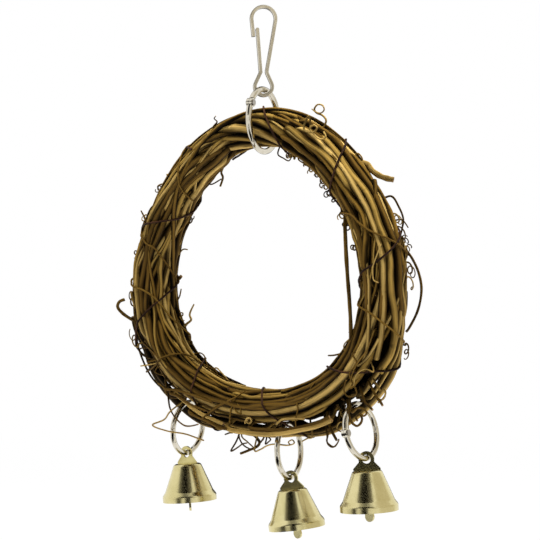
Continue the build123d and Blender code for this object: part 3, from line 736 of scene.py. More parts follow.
# Tendrils and twigs, and how far the curls inside the band are sunk into it
CURL_SINK = 2.3
TRACES: dict[str, Trace] = {
    "top_twig": Trace(TOP_LEFT, (0.55, 0.2), ((975, 385), (955, 345), (990, 295), (965, 265),
        (980, 240)), (-4, -6)),
    "left_nub": Trace(TOP_LEFT, (0.5, 0.35), ((550, 845), (530, 775)), (-6, -6)),
    "left_loop": Trace(TOP_LEFT, (0.4, 0.3), ((510, 865), (445, 890), (475, 945)), (-7, -7)),
    "left_twig": Trace(TOP_LEFT, (0.65, 0.3), ((362, 1260), (320, 1170), (290, 1110)), (-7, -9)),
    "inner_hang": Trace(TOP_LEFT, (0.55, 0.5), ((1050, 690), (1030, 760), (1045, 810),
        (1020, 890)), (5, 2)),
    "inner_bow": Trace(TOP_LEFT, (0.4, 0.3), ((855, 840), (940, 870), (1030, 820)), (5, 3)),
    "inner_tick": Trace(TOP_LEFT, (0.4, 0.25), ((595, 1450), (640, 1445), (665, 1455)), (7, 7)),
    "inner_curl": Trace(LOW_LEFT, (0.45, 0.3), ((405, 190), (450, 140), (485, 140)), (7, 7)),
    "inner_stub": Trace(LOW_LEFT, (0.95, 0.8), ((350, 320), (410, 350), (440, 330)), (7, 6)),
    "inner_thorn": Trace(LOW_LEFT, (0.5, 0.3), ((385, 525), (425, 480), (440, 420)), (7, 7)),
    "inner_bud": Trace(LOW_LEFT, (0.9, 0.35), ((440, 755), (470, 680), (510, 640), (500, 600),
        (530, 530)), (6, 4)),
    "side_loop": Trace(LOW_LEFT, (0.4, 0.3), ((250, 835), (150, 845), (165, 890), (240, 920)), (-8, -9)),
    "side_spur": Trace(LOW_LEFT, (0.75, 0.5), ((290, 920), (195, 940)), (-9, -11)),
    "side_twig": Trace(LOW_LEFT, (0.4, 0.3), ((320, 935), (150, 970)), (-9, -12)),
    "side_loop_low": Trace(LOW_LEFT, (0.4, 0.3), ((290, 960), (255, 1010), (310, 1035)), (-9, -10)),
    "inner_arch": Trace(LOW_LEFT, (0.35, 0.3), ((550, 1000), (530, 900), (570, 875), (605, 900), (625, 970),
        (650, 1020), (640, 1065)), (4, 2)),
    "inner_arch_low": Trace(LOW_LEFT, (0.35, 0.3), ((635, 1060), (680, 985), (720, 1010), (780, 1085),
        (755, 1145)), (4, 2)),
    "low_trail": Trace(LOW_LEFT, (0.45, 0.35), ((330, 1050), (345, 1180), (360, 1270), (400, 1340),
        (470, 1395), (560, 1385)), (-10, -17)),
    "low_fork": Trace(LOW_LEFT, (0.35, 0.25), ((338, 1160), (320, 1130), (275, 1090)), (-11, -13)),
    "low_bow": Trace(LOW_LEFT, (0.4, 0.35), ((365, 1290), (320, 1350), (235, 1390), (330, 1430),
        (470, 1455), (600, 1500)), (-14, -18)),
    "right_loose": Trace(LOW_RIGHT, (0.8, 0.7), ((668, -90), (650, 60), (655, 250), (665, 330)), (-7, -7)),
    "right_curl": Trace(LOW_RIGHT, (0.4, 0.3), ((715, 310), (660, 390), (690, 460), (755, 465)), (-8, -10)),
    "right_curl_up": Trace(LOW_RIGHT, (0.35, 0.3), ((790, 110), (740, 250), (740, 350),
        (775, 375)), (-12, -13)),
    "right_stub": Trace(LOW_RIGHT, (1.2, 0.9), ((690, 700), (600, 720), (570, 740)), (-6, -8)),
    "right_spear": Trace(LOW_RIGHT, (0.45, 0.35), ((660, 785), (420, 895)), (-5, 3)),
    "right_zig": Trace(LOW_RIGHT, (0.35, 0.25), ((640, 730), (530, 820), (575, 945)), (-7, -8)),
    "front_curl": Trace(LOW_RIGHT, (0.4, 0.35), ((590, 880), (620, 950), (570, 1030), (620, 1160),
        (560, 1185), (530, 1140), (545, 1070)), (-13, -14)),
    "front_wave": Trace(LOW_RIGHT, (0.35, 0.3), ((740, 730), (690, 860), (640, 930), (600, 1000),
        (570, 1090)), (-13, -14)),
    "front_bend": Trace(LOW_RIGHT, (0.35, 0.3), ((740, 1010), (680, 990), (620, 1030),
        (600, 1110)), (-13, -14)),
    "right_spike": Trace(LOW_RIGHT, (0.7, 0.35), ((730, 1150), (800, 1245)), (4, 5)),
    "right_spike_loop": Trace(LOW_RIGHT, (0.4, 0.3), ((780, 1120), (825, 1160), (805, 1210),
        (760, 1195)), (5, 7)),
    "low_tangle": Trace(LOW_RIGHT, (0.4, 0.3), ((520, 1330), (560, 1400), (540, 1440), (480, 1420),
        (500, 1370), (560, 1370)), (-3, -6)),
    "low_hook": Trace(LOW_RIGHT, (0.4, 0.3), ((430, 1390), (415, 1470), (410, 1510), (460, 1545),
        (495, 1500)), (-6, -8)),
    "low_spur": Trace(LOW_RIGHT, (0.8, 0.6), ((430, 1400), (480, 1500)), (-6, -7)),
    "top_curl": Trace(TOP_RIGHT, (0.5, 0.25), ((555, 310), (520, 250), (465, 225), (440, 190), (470, 145),
        (520, 150), (535, 195), (500, 225), (450, 215), (415, 185)), (2, -1)),
    "in_curl_a": Trace(TOP_RIGHT, (0.35, 0.25), ((90, 575), (150, 620), (200, 645), (225, 610),
        (190, 595)), (-3, -2), sink=CURL_SINK),
    "in_curl_b": Trace(TOP_RIGHT, (0.35, 0.25), ((300, 625), (370, 680), (420, 715), (445, 700),
        (430, 690)), (-4, -3), sink=CURL_SINK),
    "in_curl_c": Trace(TOP_RIGHT, (0.35, 0.25), ((500, 720), (490, 780), (540, 790), (560, 850), (600, 870),
        (640, 850)), (-4, -5), sink=CURL_SINK),
    "in_curl_d": Trace(TOP_RIGHT, (0.35, 0.25), ((640, 870), (655, 950), (700, 990),
        (740, 960)), (-5, -5), sink=CURL_SINK),
    "in_curl_e": Trace(TOP_RIGHT, (0.35, 0.25), ((775, 1050), (740, 1110),
        (775, 1190)), (-6, -6), sink=CURL_SINK),
    "front_coil": Trace(TOP_RIGHT, (0.45, 0.4), ((390, 255), (345, 330), (345, 395), (420, 415), (465, 375),
        (440, 345), (400, 370), (430, 430), (500, 480), (550, 460), (530, 410)), (-9, -9)),
    "right_twig": Trace(TOP_RIGHT, (0.5, 0.4), ((1190, 1040), (1270, 1150), (1310, 1260), (1300, 1350),
        (1270, 1470)), (6, 7)),
    "right_thorn": Trace(TOP_RIGHT, (0.4, 0.25), ((1290, 1270), (1360, 1350)), (7, 9)),
    "right_back_curl": Trace(TOP_RIGHT, (0.35, 0.3), ((860, 620), (910, 680), (880, 740), (850, 730),
        (880, 700)), (5, 5)),
    "under_vee": Trace(WHOLE, (0.45, 0.3), ((240, 433), (237, 441), (231.5, 451), (238, 447.5), (243, 444),
        (247.5, 443)), (-4, -5)),
    "under_wave": Trace(WHOLE, (0.42, 0.3), ((239.5, 434), (241, 441), (245, 446), (251, 449),
        (255, 449.5)), (-3, -5)),
    "under_straw": Trace(WHOLE, (0.35, 0.3), ((242, 435), (248, 442), (253.5, 447)), (-5, -6)),
    "under_branch": Trace(WHOLE, (0.75, 0.55), ((254, 433), (257.5, 438), (260, 442.5), (257.5, 446.5),
        (250, 450), (241, 453.5)), (-3, -6)),
    "under_fork": Trace(WHOLE, (0.5, 0.35), ((264.5, 437), (262, 441), (258.5, 445.5)), (-4, -5)),
    "under_long": Trace(WHOLE, (0.38, 0.28), ((255, 449.8), (261, 449.3), (267, 446), (273, 444.2),
        (280, 444.6), (287, 445.4), (292.5, 444.6), (294.8, 442.5), (292.5, 439.8), (289, 442),
        (290.5, 444.6)), (-6, -5)),
    "under_knot": Trace(WHOLE, (0.4, 0.3), ((267, 438), (266, 444), (269, 442), (271, 439.5),
        (269, 437.5)), (-4, -4)),
    "under_tip": Trace(WHOLE, (0.55, 0.3), ((235, 431), (230, 432.8), (225.3, 434.6)), (-5, -7)),
    "under_right": Trace(WHOLE, (0.45, 0.3), ((313, 436), (308, 438.3), (302.5, 441.5)), (-4, -5)),
    "under_loop": Trace(WHOLE, (0.36, 0.3), ((327.5, 434), (327.5, 442), (330, 446), (334, 447), (338, 443),
        (339.5, 439)), (-7, -7)),
    "front_zig": Trace(WHOLE, (0.38, 0.3), ((231, 424), (231, 412), (233.5, 406), (237, 412), (241, 414),
        (241, 408), (238, 404)), (-12, -13), on_front=True),
    "front_ring": Trace(WHOLE, (0.45, 0.38), ((246, 423), (247.5, 418.5), (250.5, 418), (252, 421),
        (249.5, 423.5), (247, 421.5), (248.5, 419.5)), (-12, -12), on_front=True),
    "front_dark": Trace(WHOLE, (0.6, 0.4), ((215, 408), (225, 402.5), (235, 398),
        (246, 391)), (-12, -12), on_front=True),
    "front_drop": Trace(WHOLE, (0.4, 0.3), ((298, 403), (298.5, 409), (297, 415), (296, 422),
        (297, 430)), (-12, -12), on_front=True),
    "front_rise": Trace(WHOLE, (0.6, 0.45), ((277, 424), (283, 419.5), (295, 418.5),
        (305, 419)), (-12, -12), on_front=True),
    "swag_left_dark": Trace(WHOLE, (0.75, 0.6), ((165, 388.5, -11), (176, 390, -13), (188, 393.5, -13.5),
        (200, 397.5, -13), (213, 402.5, -11.5))),
    "swag_left_low_dark": Trace(WHOLE, (0.7, 0.6), ((171, 393, -13), (178, 396, -13.5), (186, 401.5, -14),
        (195, 406.5, -14), (206, 411, -12.5))),
    "swag_left_tan": Trace(WHOLE, (1, 0.9), ((176, 392, -10.5), (184, 400, -13), (192, 407, -14),
        (201, 413.5, -14), (211, 418.5, -13), (224, 424, -11.5))),
    "swag_left_low": Trace(WHOLE, (0.9, 0.8), ((190, 411, -14), (199, 417, -14), (209, 421.5, -13.5),
        (221, 427.5, -12.5), (235, 430, -11))),
    "swag_left_cross_dark": Trace(WHOLE, (0.7, 0.6), ((203, 419, -14), (211, 412, -13), (220, 406, -12),
        (231, 400.5, -11))),
    "swag_mid_tan": Trace(WHOLE, (1.1, 1), ((228, 428, -11), (246, 432.5, -13), (264, 434.5, -14.3),
        (282, 433.5, -14.5), (300, 430.5, -13.5), (318, 426, -12), (332, 420, -11))),
    "swag_mid_dark": Trace(WHOLE, (0.9, 0.8), ((250, 427.5, -11), (268, 430, -13.5), (284, 430, -14),
        (300, 427.5, -13), (316, 423, -12), (330, 417, -11))),
    "swag_back_right": Trace(WHOLE, (1.1, 1), ((335, 424.5, 6), (347, 418.5, 9), (357, 411, 11),
        (366, 402, 11.5), (374, 392, 11), (381, 380, 9))),
    "swag_back_right_dark": Trace(WHOLE, (1, 0.9), ((338, 421, 6), (348, 415, 8), (357, 407, 9.5),
        (365.5, 398, 10), (373, 388, 9))),
    "swag_back_low_dark": Trace(WHOLE, (0.8, 0.7), ((343, 424.5, 8), (353, 418, 11.5), (362, 410, 13),
        (371, 400, 13), (378, 390, 11.5))),
    "tangle_right_dark": Trace(WHOLE, (0.55, 0.45), ((350, 416, -12.5), (352, 422, -13.5), (357, 426, -14),
        (361, 423.5, -14), (362.5, 419, -13.8), (360.5, 415, -13.5), (356.5, 417.5, -13.5),
        (358, 421, -13.8))),
    "tangle_high_dark": Trace(WHOLE, (0.5, 0.4), ((352, 412, -12.5), (358, 408, -13.5), (364, 409, -14),
        (367, 413, -14), (364, 416, -14), (360, 413, -13.8))),
    "spur_right_dark": Trace(WHOLE, (0.6, 0.5), ((365, 402, -12), (369.5, 406, -13.5), (373, 410, -14.5))),
    "spur_low": Trace(WHOLE, (0.6, 0.5), ((377, 397, -10), (380.5, 401, -11), (383, 405.5, -12))),
    "loop_right": Trace(WHOLE, (0.45, 0.35), ((381, 391, -9), (384, 389, -9.5), (386, 392, -10),
        (385, 396.5, -10), (382, 400, -10), (378.5, 402.5, -10))),
}

# Strands at the back, given as offsets: radius at either end, then angle, radial and axial offset of each
# point
BACK_FILL: dict[str, tuple[float, float, list[Row]]] = {
    "back_fill_a_dark": (0.85, 0.7, [(-16, 3.5, 8.5), (-10, 6.2, 10.8), (-4, 7.0, 11.6), (2, 7.1, 11.6),
        (6, 6.4, 10.8), (8, 4, 9)]),
    "back_fill_b_dark": (0.8, 0.7, [(-14, 4, 9), (-8, 7.4, 11), (-3, 8.2, 11.8), (2, 8.2, 11.8),
        (5.5, 7.4, 10.8), (7.5, 5, 9)]),
}

# Wraps: radius, then angle of the wreath and angle round the bundle of each point, typed by
# hand, with some of the wreath angles worked out from the photograph by a separate script.
WRAPS: dict[str, tuple[float, list[tuple[float, float]]]] = {
    "right_high": (0.45, [(126, 160), (119, 205), (112.5, 262), (107.7, 276), (103.2, 296), (100.1, 324),
        (98, 350), (95, 390), (90, 440)]),
    "right_mid": (0.42, [(83, 160), (77.5, 200), (75.6, 250), (75, 274), (73.6, 296), (71.7, 322),
        (70, 342), (67, 378), (62, 430)]),
    "left_high": (0.45, [(242, 400), (248, 350), (254, 300), (258.7, 262), (260.3, 240), (263.8, 222),
        (268, 200), (273, 175), (281, 120)]),
    "left_mid": (0.48, [(265, 410), (270, 365), (274, 320), (276, 294), (278.4, 258), (282.4, 234),
        (288.3, 211), (294, 189), (301, 150), (308, 100)]),
    "left_low": (0.45, [(300, 400), (306, 340), (308.4, 290), (308.9, 266), (309.3, 250), (310.3, 234),
        (312.3, 212), (316, 190), (322, 175), (330, 130)]),
    "top_left": (0.4, [(212, 390), (215, 340), (219, 300), (224, 266), (228, 240), (231, 205), (234, 160)]),
}

# Curls: angle of the wreath, angle round the bundle, and reach off it
CURLS: tuple[tuple[float, float, float], ...] = (
    (162, 184, 1.2), (157, 188, 1.8), (152, 190, 1.2), (147, 194, 2.2), (142, 198, 1.4), (138, 200, 2.4),
    (133, 203, 1.6), (129, 205, 2.8), (123, 208, 1.6), (116, 211, 2.2), (108, 214, 1.4), (99, 216, 2.0),
    (108, 24, 1.4), (104, 28, 2.0), (100, 31, 2.6), (97, 28, 1.8), (94, 32, 2.8), (91, 29, 2.0),
    (87, 31, 2.4), (66, 30, 1.6), (236, 324, 1.6), (249, 320, 2.0), (263, 318, 1.5), (283, 316, 2.2),
    (297, 314, 1.8), (246, 150, 1.4), (276, 148, 1.8), (290, 150, 2.4), (305, 152, 2.0),
)
# Ranges of a curl's loops, size and drift; its radii and its steps in a loop; how far off it starts,
# how deep its loops are and how far it leans; and millimetres in a degree of the wreath
CURL_LOOPS, CURL_SIZES, CURL_DRIFTS = (1.2, 2.2), (1.0, 1.9), (-6.0, 6.0)
CURL_RADII, CURL_STEPS = (0.4, 0.22), 9
CURL_ROOT, CURL_DEPTH, CURL_LEAN = 1.5, 0.7, 14.0
MM_PER_DEGREE = 1.15


def through(rows: Sequence[Sequence[float]], per_row: int) -> list[list[float]]:
    """Smooth run of values through rows.

    Args:
        rows: the rows that the run passes.
        per_row: number of steps between two rows.

    Returns:
        The values at every step.
    """
    last = len(rows) - 1
    run = []
    for i in range(last):
        before, start, end, after = rows[max(i - 1, 0)], rows[i], rows[i + 1], rows[min(i + 2, last)]
        for step in range(per_row):
            t = step / per_row
            weights = (-t + 2 * t**2 - t**3, 2 - 5 * t**2 + 3 * t**3, t + 4 * t**2 - 3 * t**3, t**3 - t**2)
            columns = zip(before, start, end, after)
            run.append([0.5 * sum(w * v for w, v in zip(weights, four)) for four in columns])
    return run + [list(rows[last])]


# Relief of the bark: noise scales along the strand and round it, coarse then fine
COARSE_ALONG, COARSE_ROUND = 70.0, 1.7
FINE_ALONG, FINE_ROUND, FINE_SHARE = 260.0, 2.6, 0.5
# Length between the places of two seeds in the bark, and how far out a strand's crest starts, from where its
# painted shade fades out
SEED_APART, CREST = 0.37, 0.34


def tube(name: str, line: Sequence[Vector], radii: Sequence[float], sides: int, relief: float, seed: int,
         shade: float = 0.0) -> bpy.types.Object:
    """Round strand along a line, with bark relief, closed ends, a straightened place and painted shade on the
    side that faces the bundle's centre.

    Args:
        name: name of the piece.
        line: centre line in metres.
        radii: radius at each point of the line.
        sides: an even number of sides, 6 or more.
        relief: height of the relief as a share of the radius.
        seed: place in the noise.
        shade: strength of the painted shade on the side that faces the bundle's centre.

    Returns:
        The mesh object, its cut ends in the second material slot.
    """
    curve = bpy.data.curves.new(name, "CURVE")
    curve.dimensions = "3D"
    curve.bevel_depth = 1.0
    curve.bevel_resolution = (sides - 4) // 2
    spline = curve.splines.new("POLY")
    spline.points.add(len(line) - 1)
    for point, place, radius in zip(spline.points, line, radii):
        point.co = (*place, 1.0)
        point.radius = radius
    holder = bpy.data.objects.new(name, curve)
    mesh = bpy.data.meshes.new_from_object(holder)
    bpy.data.objects.remove(holder)
    bpy.data.curves.remove(curve)
    mesh.name = name
    along = run_lengths(line)
    outward = [WreathLay().outward(place) for place in line]
    mesh.attributes.new("strand", "FLOAT_VECTOR", "POINT")
    mesh.attributes.new("groove", "FLOAT", "POINT")
    straight = mesh.attributes["strand"]
    groove = mesh.attributes["groove"]
    for vertex in mesh.vertices:
        ring, side = divmod(vertex.index, sides)
        turn = 2.0 * math.pi * side / sides
        radius = radii[ring]
        cosine, sine = math.cos(turn), math.sin(turn)
        place = Vector((along[ring] + seed * SEED_APART, radius * cosine, radius * sine))
        straight.data[vertex.index].vector = place
        # Painted shade: the side that faces the bundle's centre, where the strands shade each other, is
        # marked darker, fading out towards the crest.
        crest = outward[ring].dot(vertex.co - line[ring]) / radius
        groove.data[vertex.index].value = shade * (1.0 - ease((crest - CREST) / (1.0 - CREST)))
        coarse = (place.x * COARSE_ALONG, cosine * COARSE_ROUND + seed, sine * COARSE_ROUND)
        fine = (place.x * FINE_ALONG, cosine * FINE_ROUND, sine * FINE_ROUND + seed)
        ridge = noise.noise(coarse) + FINE_SHARE * noise.noise(fine)
        vertex.co = line[ring] + (vertex.co - line[ring]) * (1.0 + relief * ridge)
    shape = bmesh.new()
    shape.from_mesh(mesh)
    rims = [edge for edge in shape.edges if edge.is_boundary]
    caps = bmesh.ops.holes_fill(shape, edges=rims, sides=0)["faces"]
    for cap in caps:
        cap.material_index = 1
    bmesh.ops.recalc_face_normals(shape, faces=shape.faces)
    for face in shape.faces:
        face.smooth = face not in caps
    shape.to_mesh(mesh)
    shape.free()
    piece = bpy.data.objects.new(name, mesh)
    bpy.context.scene.collection.objects.link(piece)
    return piece


def linked(name: str, shape: bmesh.types.BMesh) -> bpy.types.Object:
    """Turn a finished shape into an object of the scene."""
    mesh = bpy.data.meshes.new(name)
    shape.to_mesh(mesh)
    shape.free()
    piece = bpy.data.objects.new(name, mesh)
    bpy.context.scene.collection.objects.link(piece)
    return piece


def joined(name: str, pieces: Sequence[bpy.types.Object]) -> bpy.types.Object:
    """Join mesh pieces into one of the given name."""
    with bpy.context.temp_override(active_object=pieces[0], selected_editable_objects=list(pieces)):
        bpy.ops.object.join()
    pieces[0].name = name
    pieces[0].data.name = name
    return pieces[0]


def clad(piece: bpy.types.Object, *materials: bpy.types.Material) -> bpy.types.Object:
    """Give a piece its materials, in slot order."""
    for material in materials:
        piece.data.materials.append(material)
    return piece


def place_piece(piece: bpy.types.Object, slot: str, materials: Iterable[bpy.types.Material],
                *nodes: str) -> None:
    """Dress a piece of the wreath and let it ride on it.

    Args:
        piece: the mesh object.
        slot: material slot of the record; not used.
        materials: materials in slot order.
        nodes: nodes that the piece stands for.
    """
    clad(piece, *materials)
    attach(piece, "wreath")
    if nodes:
        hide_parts(*nodes)
    LOG.info("%s: %d faces", piece.name, len(piece.data.polygons))


@dataclass
class Wreath:
    """The wound vines, their runners and tendrils, and the binding wire."""

    lay: WreathLay = field(default_factory=WreathLay)
    filler_count: int = 24
    cross_count: int = 22
    over_count: int = 30
    vine_cuts: tuple[float, ...] = (-77.0, 635.0, 1294.0, 1898.5, 2285.0, 3163.0)
    vine_cut_half: float = 3.5
    core_span: tuple[float, float] = (30.0, 1090.0)
    runner_span: tuple[float, float] = (16.0, 344.0)
    top_half: float = 11.0
    top_limit: float = 0.45
    ring_calm: float = 0.2
    filler_limit: float = 0.6
    clear_step: float = 2.0
    wire_radius: float = 0.45
    wire_span: tuple[float, float] = (212.0, 560.0)
    wire_turns: int = 9
    wire_phase: float = 20.0
    wire_step: float = 0.5
    cord_half: int = 78
    cord_step: int = 6
    wrap_tuck: float = 3.0
    wrap_tuck_points: float = 9.0
    shoot_gap: float = 0.3
    root_share: float = 0.5
    strands: list[Strand] = field(default_factory=list)

    def finishes(self) -> None:
        """Make the bark tones and the wire's coating."""
        self.tan = BarkFinish(
            "bark_tan", rgb(0.86, 0.72, 0.42), rgb(0.37, 0.265, 0.067), rgb(0.10, 0.06, 0.01),
        ).material()
        self.brown = BarkFinish(
            "bark_brown", rgb(0.74, 0.60, 0.30), rgb(0.265, 0.182, 0.041), rgb(0.075, 0.045, 0.008),
        ).material()
        self.dark = BarkFinish(
            "bark_dark", rgb(0.49, 0.37, 0.155), rgb(0.165, 0.108, 0.023), rgb(0.058, 0.034, 0.006),
        ).material()
        self.thin = BarkFinish(
            "bark_thin", rgb(0.56, 0.43, 0.18), rgb(0.205, 0.137, 0.032), rgb(0.066, 0.039, 0.008),
            patch_scale=60.0,
        ).material()
        self.cut = CutFinish().material()
        self.coat = CoatedWireFinish().material()

    def vines(self) -> None:
        """Wind the vines and runners."""
        flares = ((3.0, 1.0), (2.0, 0.5), (1.5, 0.4), (0.5, 4.0), (1.0, 2.0))
        sizes = {"carrier": 2.1, "second": 1.55, "third": 1.8, "fourth": 1.4, "fifth": 1.7}
        tones = (self.tan, self.brown, self.tan, self.dark, self.brown)
        for i, (name, radius) in enumerate(sizes.items()):
            span = (self.vine_cuts[i] + self.vine_cut_half, self.vine_cuts[i + 1] - self.vine_cut_half)
            strand = Strand(f"vine_{name}", Run.OUTER, span, radius, 11 + i, flares=flares[i])
            self.add(strand, "vine_tan" if tones[i] is self.tan else "vine_brown", tones[i])
        core = Strand("vine_core", Run.CORE, self.core_span, 1.5, 31, wander=0.2)
        # The core lies deep inside the bundle; its darkest bark is painted shade of that depth.
        self.add(core, "vine_brown", self.dark)
        for name, radius, side in (("front", 1.1, -30.0), ("back", 0.9, 30.0)):
            seed = 41 + int(side)
            strand = Strand(f"runner_{name}", Run.RUNNER, self.runner_span, radius, seed, side, wander=0.5)
            self.add(strand, "runner_bark", self.thin)

    def add(self, strand: Strand, slot: str, bark: bpy.types.Material) -> None:
        """Build one strand that stands for the node of its name."""
        line = strand.line()
        piece = tube(f"bark_{strand.name}", line, strand.radii(line), sides=14, relief=0.07,
                     seed=strand.seed, shade=1.0)
        place_piece(piece, slot, (bark, self.cut), strand.name)
        self.strands.append(strand)

    def clear(self, strand: Strand) -> bool:
        """Whether a thin strand keeps out of the ways of the top ring and the hung rings."""
        ring_limit = self.filler_limit if strand.run is Run.FILLER else 0.0
        tau = strand.span[0]
        while tau < strand.span[1]:
            outward = math.cos(math.radians(strand.alpha(tau)))
            if abs(tau % 360.0 - 180.0) < self.top_half and outward < self.top_limit:
                return False
            if self.lay.calm(tau) < self.ring_calm and outward > ring_limit:
                return False
            tau += self.clear_step
        return True

    def groove_strand(self, rng: random.Random, number: int) -> Strand:
        """A strand in one of the grooves between the vines."""
        start = rng.uniform(0.0, 360.0)
        span = (start, start + rng.uniform(70.0, 230.0))
        phase = 360.0 / self.lay.slots * (0.5 + rng.randrange(self.lay.slots))
        radius = rng.uniform(0.6, 1.1)
        return Strand("filler", Run.FILLER, span, radius, 100 + number, phase, wander=0.9)

    def cross_strand(self, rng: random.Random, number: int) -> Strand:
        """A thin strand that crosses the band."""
        start = rng.uniform(0.0, 360.0)
        span = (start, start + rng.uniform(28.0, 80.0))
        pace = rng.choice((-1.0, 1.0)) * rng.uniform(0.3, 3.2)
        radius = rng.uniform(0.45, 0.85)
        phase = rng.uniform(0.0, 360.0)
        return Strand("cross", Run.CROSS, span, radius, 300 + number, phase, wander=0.6, pace=pace)

    def over_strand(self, rng: random.Random, number: int) -> Strand:
        """A strand along the band, over the vines."""
        start = rng.uniform(0.0, 360.0)
        span = (start, start + rng.uniform(60.0, 150.0))
        radius = rng.uniform(0.9, 1.6)
        phase = rng.uniform(0.0, 360.0)
        pace = rng.uniform(-0.55, 0.55)
        return Strand("over", Run.OVER, span, radius, 500 + number, phase, wander=0.7, pace=pace)

    def thin_strands(self) -> list[Strand]:
        """Lay thin strands in the grooves, across and along the band, and over the lowest vine."""
        rng = random.Random(7)
        strands: list[Strand] = []
        for draw, count in ((self.groove_strand, self.filler_count), (self.cross_strand, self.cross_count),
                            (self.over_strand, self.over_count)):
            full = len(strands) + count
            while len(strands) < full:
                strand = draw(rng, len(strands))
                if self.clear(strand):
                    strands.append(strand)
        for bed in BEDS:
            for row in range(bed.count):
                strands.append(bed.strand(rng, row, len(strands)))
        for span in GAP_SPANS:
            for phase, radius in GAP_STRANDS:
                seed = 200 + len(strands)
                strands.append(Strand("filler", Run.FILLER, span, radius, seed, phase, wander=1.0, tuck=4.0))
        return strands

    def fillers(self) -> None:
        """Build the thin strands as one piece."""
        strands = self.thin_strands()
        tones = (self.tan, self.brown, self.dark, self.thin, self.dark)
        pieces = []
        for i, strand in enumerate(strands):
            line = strand.line()
            piece = tube(f"filler_{i}", line, strand.radii(line), sides=10, relief=0.08,
                         seed=strand.seed, shade=0.9)
            pieces.append(clad(piece, tones[i % len(tones)], self.cut))
        self.strands += strands
        place_piece(joined("thin_vines", pieces), "vine_brown", ())

    def shoots(self) -> None:
        """Grow the shoots that stand off the bundle."""
        for i, (name, (radius, side, rows)) in enumerate(SHOOTS.items()):
            rest = self.lay.thick_radius + radius + self.shoot_gap
            run = through(rows, per_row=10)
            line = [self.lay.point(angle, *self.lay.oval(angle, side, rest + rise)) for angle, rise in run]
            radii = [radius * MM * (1.0 + SHOOT_SWELL.at(j, i)) for j in range(len(line))]
            bark = self.tan if name == "upper" else self.thin
            piece = tube(f"bark_shoot_{name}", line, radii, sides=12, relief=0.09, seed=60 + i, shade=0.3)
            place_piece(piece, "runner_bark", (bark, self.cut), f"shoot_{name}")

    def curls(self) -> dict[str, tuple[float, float, list[Row]]]:
        """Small curled tendrils along the edges, each a spiral that winds off the bundle."""
        rng = random.Random(19)
        grown = {}
        for i, (theta, alpha, reach) in enumerate(CURLS):
            loops, size, drift = (rng.uniform(*ends) for ends in (CURL_LOOPS, CURL_SIZES, CURL_DRIFTS))
            steps = round(CURL_STEPS * loops)
            rows = []
            for step in range(steps + 1):
                share = step / steps
                turn = 2.0 * math.pi * loops * share
                angle = theta + (drift * share + size * math.sin(turn)) / MM_PER_DEGREE
                stand_off = CURL_ROOT + reach * share + CURL_DEPTH * size * (1.0 - math.cos(turn))
                rows.append((angle, *self.lay.oval(angle, alpha + CURL_LEAN * share, stand_off)))
            grown[f"curl_{i}"] = (*CURL_RADII, rows)
        return grown

    def tendrils(self) -> None:
        """Grow the curled tendrils, twigs and nubs, each rooted in the bundle."""
        pieces = []
        marked = {"tan": self.tan, "dark": self.dark}
        tones = (self.thin, self.tan, self.dark)
        traced = {name: (*trace.radii, trace.rows(self.lay)) for name, trace in TRACES.items()}
        for i, (name, (thick, thin, rows)) in enumerate((traced | BACK_FILL | self.curls()).items()):
            angle, radial, axial = rows[0]
            root = (angle, radial * self.root_share, axial * self.root_share)
            run = through([root, *rows], per_row=9)
            line = [self.lay.point(*row) for row in run]
            radii = []
            for j in range(len(line)):
                share = j / (len(line) - 1)
                swell = 1.0 + TENDRIL_SWELL.at(share * TENDRIL_WAVES, i)
                radii.append(MM * (thick + (thin - thick) * share) * swell)
            piece = tube(f"tendril_{name}", line, radii, sides=8, relief=0.06, seed=70 + i, shade=0.3)
            bark = marked.get(name.rsplit("_", 1)[-1], tones[i % len(tones)])
            pieces.append(clad(piece, bark, self.cut))
        for i, (name, (radius, rows)) in enumerate(WRAPS.items()):
            piece = self.wrap(f"wrap_{name}", radius, rows, 90 + i)
            pieces.append(clad(piece, self.thin if i % 2 else self.dark, self.cut))
        place_piece(joined("tendrils", pieces), "runner_bark", ())

    def wrap(self, name: str, radius: float, rows: Sequence[tuple[float, float]],
             seed: int) -> bpy.types.Object:
        """Wind a thin tendril tight over the bundle, its ends tucked in.

        Args:
            name: name of the piece.
            radius: radius in millimetres.
            rows: angles of the wreath and round the bundle that it passes.
            seed: place in the noise.

        Returns:
            The mesh object.
        """
        run = through(rows, per_row=10)
        line = []
        for i, (theta, alpha) in enumerate(run):
            tuck = self.wrap_tuck * (1.0 - ease(min(i, len(run) - 1 - i) / self.wrap_tuck_points))
            reach = self.reach(theta, alpha) + radius - tuck + WRAP_LIFT.at(i, seed)
            line.append(self.lay.around(theta, alpha, reach))
        radii = [radius * MM * (1.0 + WRAP_SWELL.at(i, seed)) for i in range(len(line))]
        return tube(name, line, radii, sides=8, relief=0.06, seed=seed, shade=0.2)

    def reach(self, theta: float, alpha: float) -> float:
        """Distance from the bundle's centre to a cord drawn tight round the strands.

        Args:
            theta: angle of the wreath.
            alpha: direction round the bundle.

        Returns:
            The distance in millimetres.
        """
        rounds = [section for strand in self.strands for section in strand.sections(theta)]
        tight = []
        for turn in range(-self.cord_half, self.cord_half + 1, self.cord_step):
            angle = math.radians(alpha + turn)
            support = max(a * math.cos(angle) + b * math.sin(angle) + r for a, b, r in rounds)
            tight.append(support / math.cos(math.radians(turn)))
        return min(tight)

